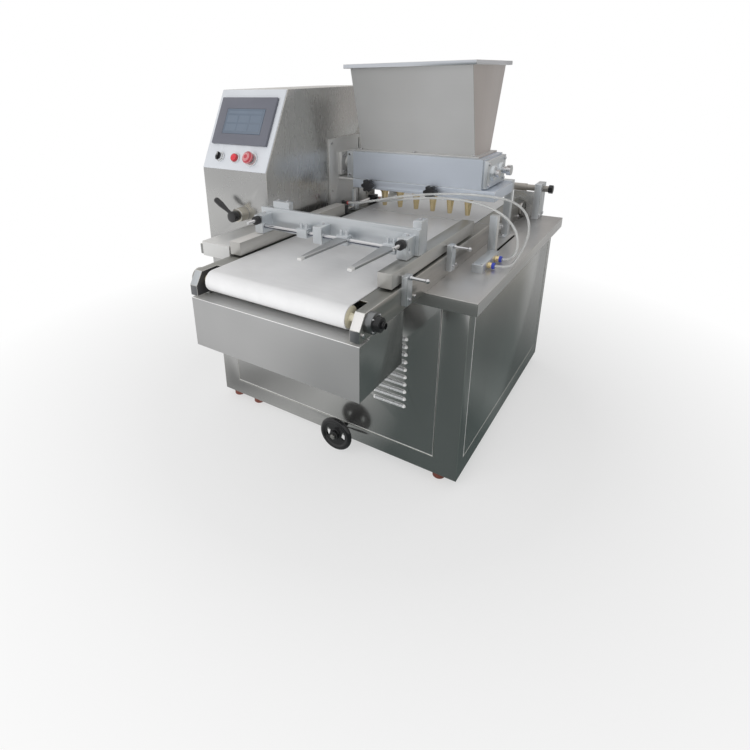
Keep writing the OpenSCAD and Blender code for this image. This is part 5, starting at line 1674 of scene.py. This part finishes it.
        # Painted shade: the top of the right rail is darker than the rest of the rail.
        right_rail_top_shade = Patch(Finishes.TUBE_TOP_SHADE, lambda c, n: n.z > SQUARE_ON and c.x > 0.0)
        ends = (tops, inside, nose_highlights, left_nose_highlight, chin_dark_reflections)
        low, high = self.belt_sides
        stubs: FaceTest = lambda c, n: abs(n.x) < self.stub_tilt and not low < c.x < high
        return [
            Dressing("conveyor_frame", Finishes.BEAM, 1.0 * MM, edge, patches=ends),
            Dressing("belt", Finishes.BELT, 0.5 * MM),
            Dressing("front_roller", Finishes.CORE, 0.6 * MM, journals=stubs),
            Dressing("rear_roller", Finishes.CORE, 0.6 * MM, journals=stubs),
            Dressing("bearing_housings", Finishes.HOUSING, 1.2 * MM, patches=(cap, flat)),
            Dressing("catch_tray", Finishes.SMOOTH_SHEET, 1.3 * MM, patches=(lip, face), trims=(rim,),
                     flange=under),
            Dressing("guide_rails", Finishes.TUBE, 1.2 * MM, patches=(left_rail_top_reflection, right_rail_top_shade, pads)),
            Dressing("rail_clamps", Finishes.ALLOY, 1.0 * MM, Finishes.ALLOY_EDGE),
            Dressing("clamp_pin_front", Finishes.BRIGHT, 0.6 * MM),
            Dressing("clamp_pin_rear", Finishes.BRIGHT, 0.6 * MM),
            Dressing("side_shelf", Finishes.SATIN, 1.2 * MM, edge),
        ]

    def extras(self) -> None:
        """Bolts and hub of the capped bearing, and screws of the rail clamps."""
        spots = on_circle(self.bearing_face, self.bolt_circle, count=4, start=45.0)
        self.screw_in("bearing_bolt", self.bolt, spots, Facing.RIGHT, "bearing_housings")
        spots = [at(self.clamp_face, row, self.clamp_screw_level) for row in self.clamp_rows]
        self.screw_in("clamp_screw", self.clamp_screw, spots, Facing.RIGHT, "rail_clamps")
        hub = Piece.rod("cap_hub", *self.hub).sink(*self.hub_dish).sink(*self.hub_pin)
        hub.round_edges(self.hub_edge).smooth().finish(Finishes.BEARING, Finishes.BRIGHT)
        hub.paint(1, lambda c, n: n.z > SQUARE_ON and c.z > self.hub_top)
        spot = at(self.cap_face, *self.bearing_face[1:])
        self.set_in(hub, [spot], Facing.RIGHT, "bearing_housings")


@dataclass
class StopBar(SubAssembly):
    """Bar with posts, finger shaft, clamps, fingers and adjusters.

    Attributes:
        knob_front: front of the adjuster knobs, along Y.
        knob_back: back of the adjuster knobs, along Y.
        line_tilt: limits of the normal along Z on the dark line painted along the finger shaft as a
            reflection.
        screw: radius and height of the screws in the tops of the blocks and posts.
        screw_spots: where they stand.
    """

    knob_front: float = -0.4280
    knob_back: float = -0.4120
    line_tilt: Pair = (-0.75, -0.05)
    screw: Pair = (4.5 * MM, 4.0 * MM)
    screw_spots: tuple[Point, ...] = (
        at(-148.0, -78.0, 816.0), at(334.0, -78.0, 816.0), at(70.0, -78.0, 810.0),
        at(-161.0, -33.0, 824.0), at(347.0, -33.0, 850.0), at(-121.0, -42.0, 850.0),
        at(-87.0, -42.0, 850.0))

    def dressings(self) -> list[Dressing]:
        """The solids of the stop bar.

        Returns:
            How each of them is finished.
        """
        alloy = Finishes.ALLOY
        edge = Finishes.ALLOY_EDGE
        knob = Patch(Finishes.BLACK, lambda c, n: self.knob_front < c.y < self.knob_back)
        low, high = self.line_tilt
        # Painted reflection: a dark line along the front-down side of the chrome shaft.
        line = Patch(Finishes.CHROME_DARK_REFLECTION, lambda c, n: n.y < 0.0 and low < n.z < high)
        return [
            Dressing("stop_bar", alloy, 1.0 * MM, edge),
            Dressing("finger_shaft", Finishes.BRIGHT, 0.6 * MM, patches=(line,)),
            Dressing("finger_clamps", alloy, 0.5 * MM, edge),
            Dressing("fingers", Finishes.FINGER, 0.6 * MM, edge),
            Dressing("finger_tips", Finishes.TIP, 0.6 * MM),
            Dressing("adjuster_left", Finishes.BRIGHT, 0.6 * MM, patches=(knob,)),
            Dressing("adjuster_right", Finishes.BRIGHT, 0.6 * MM, patches=(knob,)),
        ]

    def extras(self) -> None:
        """Screws in the tops of the blocks and posts."""
        self.screw_in("stop_bar_screw", self.screw, self.screw_spots, Facing.UP, "stop_bar")


@dataclass
class ControlCabinet(SubAssembly):
    """Cabinet with its sloped panel, touch screen, switches and hand lever.

    Attributes:
        slope_foot: height of the foot of the sloped front.
        panel_middle: middle of the panel, along X.
        display_middle: middle of the display, up the slope.
        display_floor: floor of the display's recess above the slope.
        display_size: width and height of the display glass.
        glass_sheet: thickness of that glass.
        glass_rim: width and depth of its sunk middle's rim.
        glass_edge: width of its rounded edges.
        glass_level: height of its sunk middle above the floor of the recess.
        field_heights: thickness of a tile or bar, and how far its middle is raised.
        tile_size: width and height of one tile on the display.
        tile_rim: width of the low rim of a tile.
        tile_pitch: distance between tiles across and up.
        tile_drop: how far the tiles lie below the middle of the display.
        bar_size: width and height of the bar on the display.
        bar_rim: width of the low rim of the bar.
        bar_rise: how far the bar lies above the middle of the display.
        switch_row: row of the switches, up the slope.
        switch_pitch: distance between switches.
        pointer_size: width and length of the selector's pointer.
        pointer_heights: thickness of the pointer, and how far its middle is raised.
        pointer_rim: width of the low rim of the pointer.
        pointer_shift: how far the pointer lies above the middle of the selector.
        pointer_level: top of the selector's handle above the slope.
        stop_ring: radius and height of the ring on the stop button.
        stop_ring_wall: width of that ring.
        stop_ring_edge: width of its rounded edges.
        stop_face: top of the stop button above the slope.
        ring_level: height above the slope under which the selector is its pale ring.
        stem_level: height above the slope under which the stop button is its stem.
    """

    slope_foot: float = 917.0
    panel_middle: float = -344.5
    display_middle: float = 166.0
    display_floor: float = 11.5
    display_size: Pair = (168.0, 86.0)
    glass_sheet: float = 0.9 * MM
    glass_rim: Pair = (3.0 * MM, -0.3 * MM)
    glass_edge: float = 0.12 * MM
    glass_level: float = 0.6
    field_heights: Pair = (0.12 * MM, 0.06 * MM)
    tile_size: Pair = (46.0, 24.0)
    tile_rim: float = 1.2 * MM
    tile_pitch: Pair = (52.0, 30.0)
    tile_drop: float = 7.0
    bar_size: Pair = (150.0, 9.0)
    bar_rim: float = 0.8 * MM
    bar_rise: float = 31.0
    switch_row: float = 42.0
    switch_pitch: float = 70.0
    pointer_size: Pair = (2.0, 11.0)
    pointer_heights: Pair = (0.3 * MM, 0.1 * MM)
    pointer_rim: float = 0.4 * MM
    pointer_shift: float = 6.5
    pointer_level: float = 23.0
    stop_ring: Pair = (10.5 * MM, 0.8 * MM)
    stop_ring_wall: float = 3.2 * MM
    stop_ring_edge: float = 0.25 * MM
    stop_face: float = 34.0
    ring_level: float = 16.0
    stem_level: float = 19.0

    def on_slope(self, x: float, up: float, out: float) -> Point:
        """The place x mm right of the middle, up mm from the slope's foot and out mm out of the slope."""
        spot = Facing.SLOPE.turn() @ Vector((x, up, out))
        return at(spot.x, spot.y, spot.z + self.slope_foot)

    def height_over(self, spot: Vector) -> float:
        """How far a place in the frame lies out of the sloped front, in millimetres."""
        outward = Facing.SLOPE.turn() @ Vector((0.0, 0.0, 1.0))
        return (spot - Vector(at(0.0, 0.0, self.slope_foot))).dot(outward) / MM

    def dressings(self) -> list[Dressing]:
        """The solids of the control cabinet.

        Returns:
            How each of them is finished.
        """
        ring = Patch(Finishes.SWITCH_RING, lambda c, n: self.height_over(c) < self.ring_level)
        stem = Patch(Finishes.SWITCH_RING, lambda c, n: self.height_over(c) < self.stem_level)
        return [
            # Rounded edges of the cabinet: polished, and painted paler as a highlight.
            Dressing("control_cabinet", Finishes.SHEET, 1.5 * MM, Finishes.POLISHED_EDGE_AND_HIGHLIGHT),
            Dressing("control_panel", Finishes.PANEL, 0.5 * MM),
            Dressing("touch_screen", Finishes.SCREEN, 1.2 * MM),
            Dressing("switch_collars", Finishes.SWITCH_RING, 0.6 * MM),
            Dressing("selector", Finishes.BLACK, 0.6 * MM, patches=(ring,)),
            Dressing("push_button", Finishes.BUTTON_RED, 1.8 * MM, Finishes.BUTTON_RIM, steps=3),
            Dressing("stop_button", Finishes.STOP_RED, 1.2 * MM, Finishes.STOP_RING, steps=3,
                     patches=(stem,)),
            Dressing("lever_boss", Finishes.BOSS, 1.0 * MM, Finishes.ALLOY_EDGE),
            Dressing("hand_lever", Finishes.BAKELITE, 1.5 * MM),
        ]

    def raised_plate(self, name: str, size: Pair, heights: Pair, rim: float, finish: Finish) -> Piece:
        """Models one small plate with a raised middle.

        Args:
            name: name of the pattern.
            size: its width and length, in millimetres.
            heights: its thickness, and how far its middle is raised.
            rim: width of the low rim.
            finish: what it is made of.

        Returns:
            The plate, lying on the origin.
        """
        thickness, rise = heights
        plate = Piece.slab(name, size[0] * MM, size[1] * MM, thickness)
        return plate.sink(rim, rise).finish(finish)

    def display(self) -> None:
        """Glass of the display with six plain tiles and a bar above them."""
        width, height = self.display_size
        glass = Piece.slab("display_glass", width * MM, height * MM, self.glass_sheet).sink(*self.glass_rim)
        glass.round_edges(self.glass_edge, limit=30.0).smooth().finish(Finishes.GLASS)
        spot = self.on_slope(self.panel_middle, self.display_middle, self.display_floor)
        glass.place(spot, Facing.SLOPE).hang(body_of("touch_screen"), slot_of("touch_screen"))
        level = self.display_floor + self.glass_level
        finish = Finishes.TILE
        tile = self.raised_plate("display_tile", self.tile_size, self.field_heights, self.tile_rim, finish)
        spots = []
        for row in (-0.5, 0.5):
            for column in (-1, 0, 1):
                across = self.panel_middle + column * self.tile_pitch[0]
                up = self.display_middle - self.tile_drop + row * self.tile_pitch[1]
                spots.append(self.on_slope(across, up, level))
        self.set_in(tile, spots, Facing.SLOPE, "touch_screen")
        bar = self.raised_plate("display_bar", self.bar_size, self.field_heights, self.bar_rim, finish)
        spot = self.on_slope(self.panel_middle, self.display_middle + self.bar_rise, level)
        self.set_in(bar, [spot], Facing.SLOPE, "touch_screen")

    def switch_marks(self) -> None:
        """Pointer of the selector and raised ring on the stop button."""
        pointer = self.raised_plate("selector_pointer", self.pointer_size, self.pointer_heights,
                                    self.pointer_rim, Finishes.TIP)
        left = self.panel_middle - self.switch_pitch
        spot = self.on_slope(left, self.switch_row + self.pointer_shift, self.pointer_level)
        self.set_in(pointer, [spot], Facing.SLOPE, "selector")
        ring = self.flat_ring("stop_ring", self.stop_ring, self.stop_ring_wall, self.stop_ring_edge,
                              sides=48, finish=Finishes.STOP_RING)
        right = self.panel_middle + self.switch_pitch
        spot = self.on_slope(right, self.switch_row, self.stop_face)
        self.set_in(ring, [spot], Facing.SLOPE, "stop_button")

    def extras(self) -> None:
        """Display and switch marks."""
        self.display()
        self.switch_marks()


@dataclass
class FillerHead(SubAssembly):
    """Drive plate, geared feed rollers, head block, nozzles, hopper and their support.

    Attributes:
        rim_floor: underside of the hopper's rim.
        end_face: outer face of the end plate, along X.
        end_corners: places of the end plate's screws, along Y and Z.
        end_screw: radius and height of those screws' heads.
        cover_face: outer face of the bearing covers, along X.
        cover_middles: middles of the covers, along Y and Z.
        cover_circle: radius of the circle of screws on a cover.
        cover_screw: radius and height of those screws' heads.
        plate_face: face of the drive plate, along X.
        plate_corners: places of the drive plate's screws, along Y and Z.
        plate_screw: radius and height of those screws' heads.
        case_spots: screws in the front of the gear case.
        case_screw: radius and height of those screws' heads.
        foot_spots: bolts in the foot plate of the support's leg.
        foot_bolt: radius and height of those bolts' heads.
    """

    rim_floor: float = 1.2248
    end_face: float = 372.0
    end_corners: tuple[Pair, ...] = (
        (421.0, 862.0), (584.0, 862.0), (421.0, 929.0), (584.0, 929.0))
    end_screw: Pair = (5.0 * MM, 4.0 * MM)
    cover_face: float = 381.0
    cover_middles: tuple[Pair, ...] = ((462.0, 895.5), (542.0, 895.5))
    cover_circle: float = 19.0
    cover_screw: Pair = (2.8 * MM, 2.2 * MM)
    plate_face: float = -196.0
    plate_corners: tuple[Pair, ...] = (
        (362.0, 974.0), (600.0, 974.0), (362.0, 800.0), (600.0, 800.0))
    plate_screw: Pair = (5.0 * MM, 3.5 * MM)
    case_spots: tuple[Point, ...] = (at(-142.5, 405.0, 858.0), at(-142.5, 405.0, 933.0))
    case_screw: Pair = (4.5 * MM, 3.5 * MM)
    foot_spots: tuple[Point, ...] = (at(389.0, 589.0, 653.0), at(389.0, 643.0, 653.0))
    foot_bolt: Pair = (6.5 * MM, 5.0 * MM)

    def dressings(self) -> list[Dressing]:
        """The solids of the filler head.

        Returns:
            How each of them is finished.
        """
        alloy = Finishes.ALLOY
        edge = Finishes.ALLOY_EDGE
        rim = Patch(Finishes.RIM, lambda c, n: c.z > self.rim_floor)
        # Painted reflection: the hopper's right face is warmer and darker than the rest.
        side = Patch(Finishes.HOPPER_SIDE_REFLECTION, lambda c, n: n.x > SQUARE_ON)
        return [
            # Rounded edges of the drive plate: polished, and painted paler as a highlight.
            Dressing("drive_plate", Finishes.SATIN, 0.8 * MM, Finishes.POLISHED_EDGE_AND_HIGHLIGHT),
            Dressing("drive_shaft", Finishes.BRIGHT, 0.0),
            Dressing("driven_gear", Finishes.STEEL, 0.0),
            Dressing("gear_case", alloy, 0.8 * MM, edge),
            Dressing("head_block", Finishes.HEAD, 1.0 * MM, edge),
            Dressing("feed_roller_front", Finishes.BRIGHT, 0.0),
            Dressing("feed_roller_rear", Finishes.BRIGHT, 0.0),
            Dressing("end_plate", alloy, 0.8 * MM, edge),
            Dressing("nozzle_plate", Finishes.HEAD, 0.8 * MM, edge),
            Dressing("nozzles", Finishes.BRASS, 0.4 * MM),
            Dressing("clamp_knob_left", Finishes.BLACK, 0.8 * MM),
            Dressing("clamp_knob_right", Finishes.BLACK, 0.8 * MM),
            # Rounded edges of the hopper: polished, and painted paler as a highlight.
            Dressing("hopper", Finishes.HOPPER, 0.7 * MM, Finishes.POLISHED_EDGE_AND_HIGHLIGHT, patches=(side, rim)),
            Dressing("hex_bolts", Finishes.BRIGHT, 0.5 * MM),
            Dressing("head_support", alloy, 0.8 * MM, edge),
        ]

    def extras(self) -> None:
        """Screws and bolts that hold the head together."""
        spots = [at(self.end_face, y, z) for y, z in self.end_corners]
        self.screw_in("end_plate_screw", self.end_screw, spots, Facing.RIGHT, "end_plate")
        spots = []
        for middle in self.cover_middles:
            spots.extend(on_circle((self.cover_face, *middle), self.cover_circle, count=3, start=90.0))
        self.screw_in("cover_screw", self.cover_screw, spots, Facing.RIGHT, "end_plate")
        spots = [at(self.plate_face, y, z) for y, z in self.plate_corners]
        self.screw_in("drive_plate_screw", self.plate_screw, spots, Facing.RIGHT, "drive_plate")
        self.screw_in("gear_case_screw", self.case_screw, self.case_spots, Facing.FRONT, "gear_case")
        bolt = self.hex_nut("leg_bolt", self.foot_bolt, Finishes.BRIGHT)
        self.set_in(bolt, self.foot_spots, Facing.UP, "head_support")


@dataclass
class WireCutter(SubAssembly):
    """Air cylinders, wire carriage, wire and air fittings.

    Attributes:
        rod_top: height under which the carriage is only its piston rod and blade.
        rod_back: where the piston rod meets the post, along Y.
        cylinder_top: height of the top of the right air cylinder.
        cylinder_corners: screws in that top, along X and Y.
        cylinder_screw: radius and height of those screws' heads.
        fitting_spots: where the right fittings leave the cylinder.
        fitting_nut: radius and height of the nuts there.
        elbow_spots: where the hoses enter the left fittings.
        release_ring: radius and height of the rings there.
        release_ring_wall: width of such a ring.
        release_ring_edge: width of its rounded edges.
        tension_spot: place of the screw that holds the wire's right end.
        tension_screw: radius and height of that screw's head.
    """

    rod_top: float = 0.6650
    rod_back: float = 0.0575
    cylinder_top: float = 672.0
    cylinder_corners: tuple[Pair, ...] = (
        (423.0, 195.0), (445.0, 195.0), (423.0, 345.0), (445.0, 345.0))
    cylinder_screw: Pair = (2.8 * MM, 1.8 * MM)
    fitting_spots: tuple[Point, ...] = (at(451.0, 240.0, 659.5), at(451.0, 310.0, 659.5))
    fitting_nut: Pair = (10.5 * MM, 5.0 * MM)
    elbow_spots: tuple[Point, ...] = (at(-134.0, 372.0, 759.0), at(-125.0, 601.0, 730.0))
    release_ring: Pair = (6.6 * MM, 4.0 * MM)
    release_ring_wall: float = 2.4 * MM
    release_ring_edge: float = 0.5 * MM
    tension_spot: Point = at(421.0, 448.0, 726.0)
    tension_screw: Pair = (4.5 * MM, 5.0 * MM)

    def dressings(self) -> list[Dressing]:
        """The solids of the wire cutter.

        Returns:
            How each of them is finished.
        """
        alloy = Finishes.ALLOY
        edge = Finishes.ALLOY_EDGE
        rod = Patch(Finishes.BRIGHT, lambda c, n: c.z < self.rod_top and c.y < self.rod_back)
        elbows = Patch(Finishes.BLACK, lambda c, n: c.x < 0.0)
        post = Patch(Finishes.SATIN, lambda c, n: c.x > 0.0 and c.z > self.rod_top)
        return [
            Dressing("air_cylinder_right", alloy, 0.8 * MM, edge),
            Dressing("air_cylinder_left", Finishes.BRIGHT, 0.5 * MM),
            Dressing("cylinder_caps", Finishes.BLACK, 0.8 * MM),
            Dressing("wire_carriage", alloy, 0.8 * MM, edge, patches=(post, rod)),
            Dressing("cutting_wire", Finishes.BRIGHT, 0.0),
            Dressing("air_fittings", Finishes.BRASS, 0.5 * MM, patches=(elbows,)),
            Dressing("fitting_collars", Finishes.COLLAR_BLUE, 0.5 * MM),
        ]

    def extras(self) -> None:
        """Cylinder screws, fitting nuts, release rings and the wire's screw."""
        spots = [at(x, y, self.cylinder_top) for x, y in self.cylinder_corners]
        self.screw_in("cylinder_screw", self.cylinder_screw, spots, Facing.UP, "air_cylinder_right")
        nut = self.hex_nut("fitting_nut", self.fitting_nut, Finishes.BRASS)
        self.set_in(nut, self.fitting_spots, Facing.RIGHT, "air_cylinder_right")
        ring = self.flat_ring("release_ring", self.release_ring, self.release_ring_wall,
                              self.release_ring_edge, sides=32, finish=Finishes.COLLAR_RED)
        self.set_in(ring, self.elbow_spots, Facing.RIGHT, "air_fittings")
        self.screw_in("wire_screw", self.tension_screw, [self.tension_spot], Facing.RIGHT, "wire_carriage")


@dataclass
class RearShaft(SubAssembly):
    """Round shaft across the back, its brackets and the plates beside the belt.

    Attributes:
        nut_start: where the nut begins, along X.
        bracket_face: outer face of the right bracket, along X.
        bracket_spots: screws in that face, along Y and Z.
        bracket_screw: radius and height of those screws' heads.
    """

    nut_start: float = 0.4555
    bracket_face: float = 436.0
    bracket_spots: tuple[Pair, ...] = ((911.0, 663.0), (961.0, 663.0))
    bracket_screw: Pair = (5.5 * MM, 4.5 * MM)

    def dressings(self) -> list[Dressing]:
        """The solids at the back.

        Returns:
            How each of them is finished.
        """
        nut = Patch(Finishes.BEARING, lambda c, n: c.x > self.nut_start)
        return [
            Dressing("rear_shaft", Finishes.SHAFT, 0.8 * MM, patches=(nut,)),
            Dressing("rear_brackets", Finishes.ALLOY, 1.0 * MM, Finishes.ALLOY_EDGE),
            # Rounded edges of the guards: polished, and painted paler as a highlight.
            Dressing("rear_guards", Finishes.SHEET, 0.5 * MM, Finishes.POLISHED_EDGE_AND_HIGHLIGHT),
        ]

    def extras(self) -> None:
        """Screws of the right bracket."""
        spots = [at(self.bracket_face, y, z) for y, z in self.bracket_spots]
        self.screw_in("bracket_screw", self.bracket_screw, spots, Facing.RIGHT, "rear_brackets")


def main() -> None:
    """Builds the studio and every sub-assembly in order."""
    logging.basicConfig(level=logging.INFO, format="%(message)s")
    Studio().build()
    AirHoses().build()
    for part in (Base(), Conveyor(), StopBar(), ControlCabinet(), FillerHead(), WireCutter(), RearShaft()):
        log.info("Building %s", type(part).__name__)
        part.build()


if __name__ == "__main__":
    main()
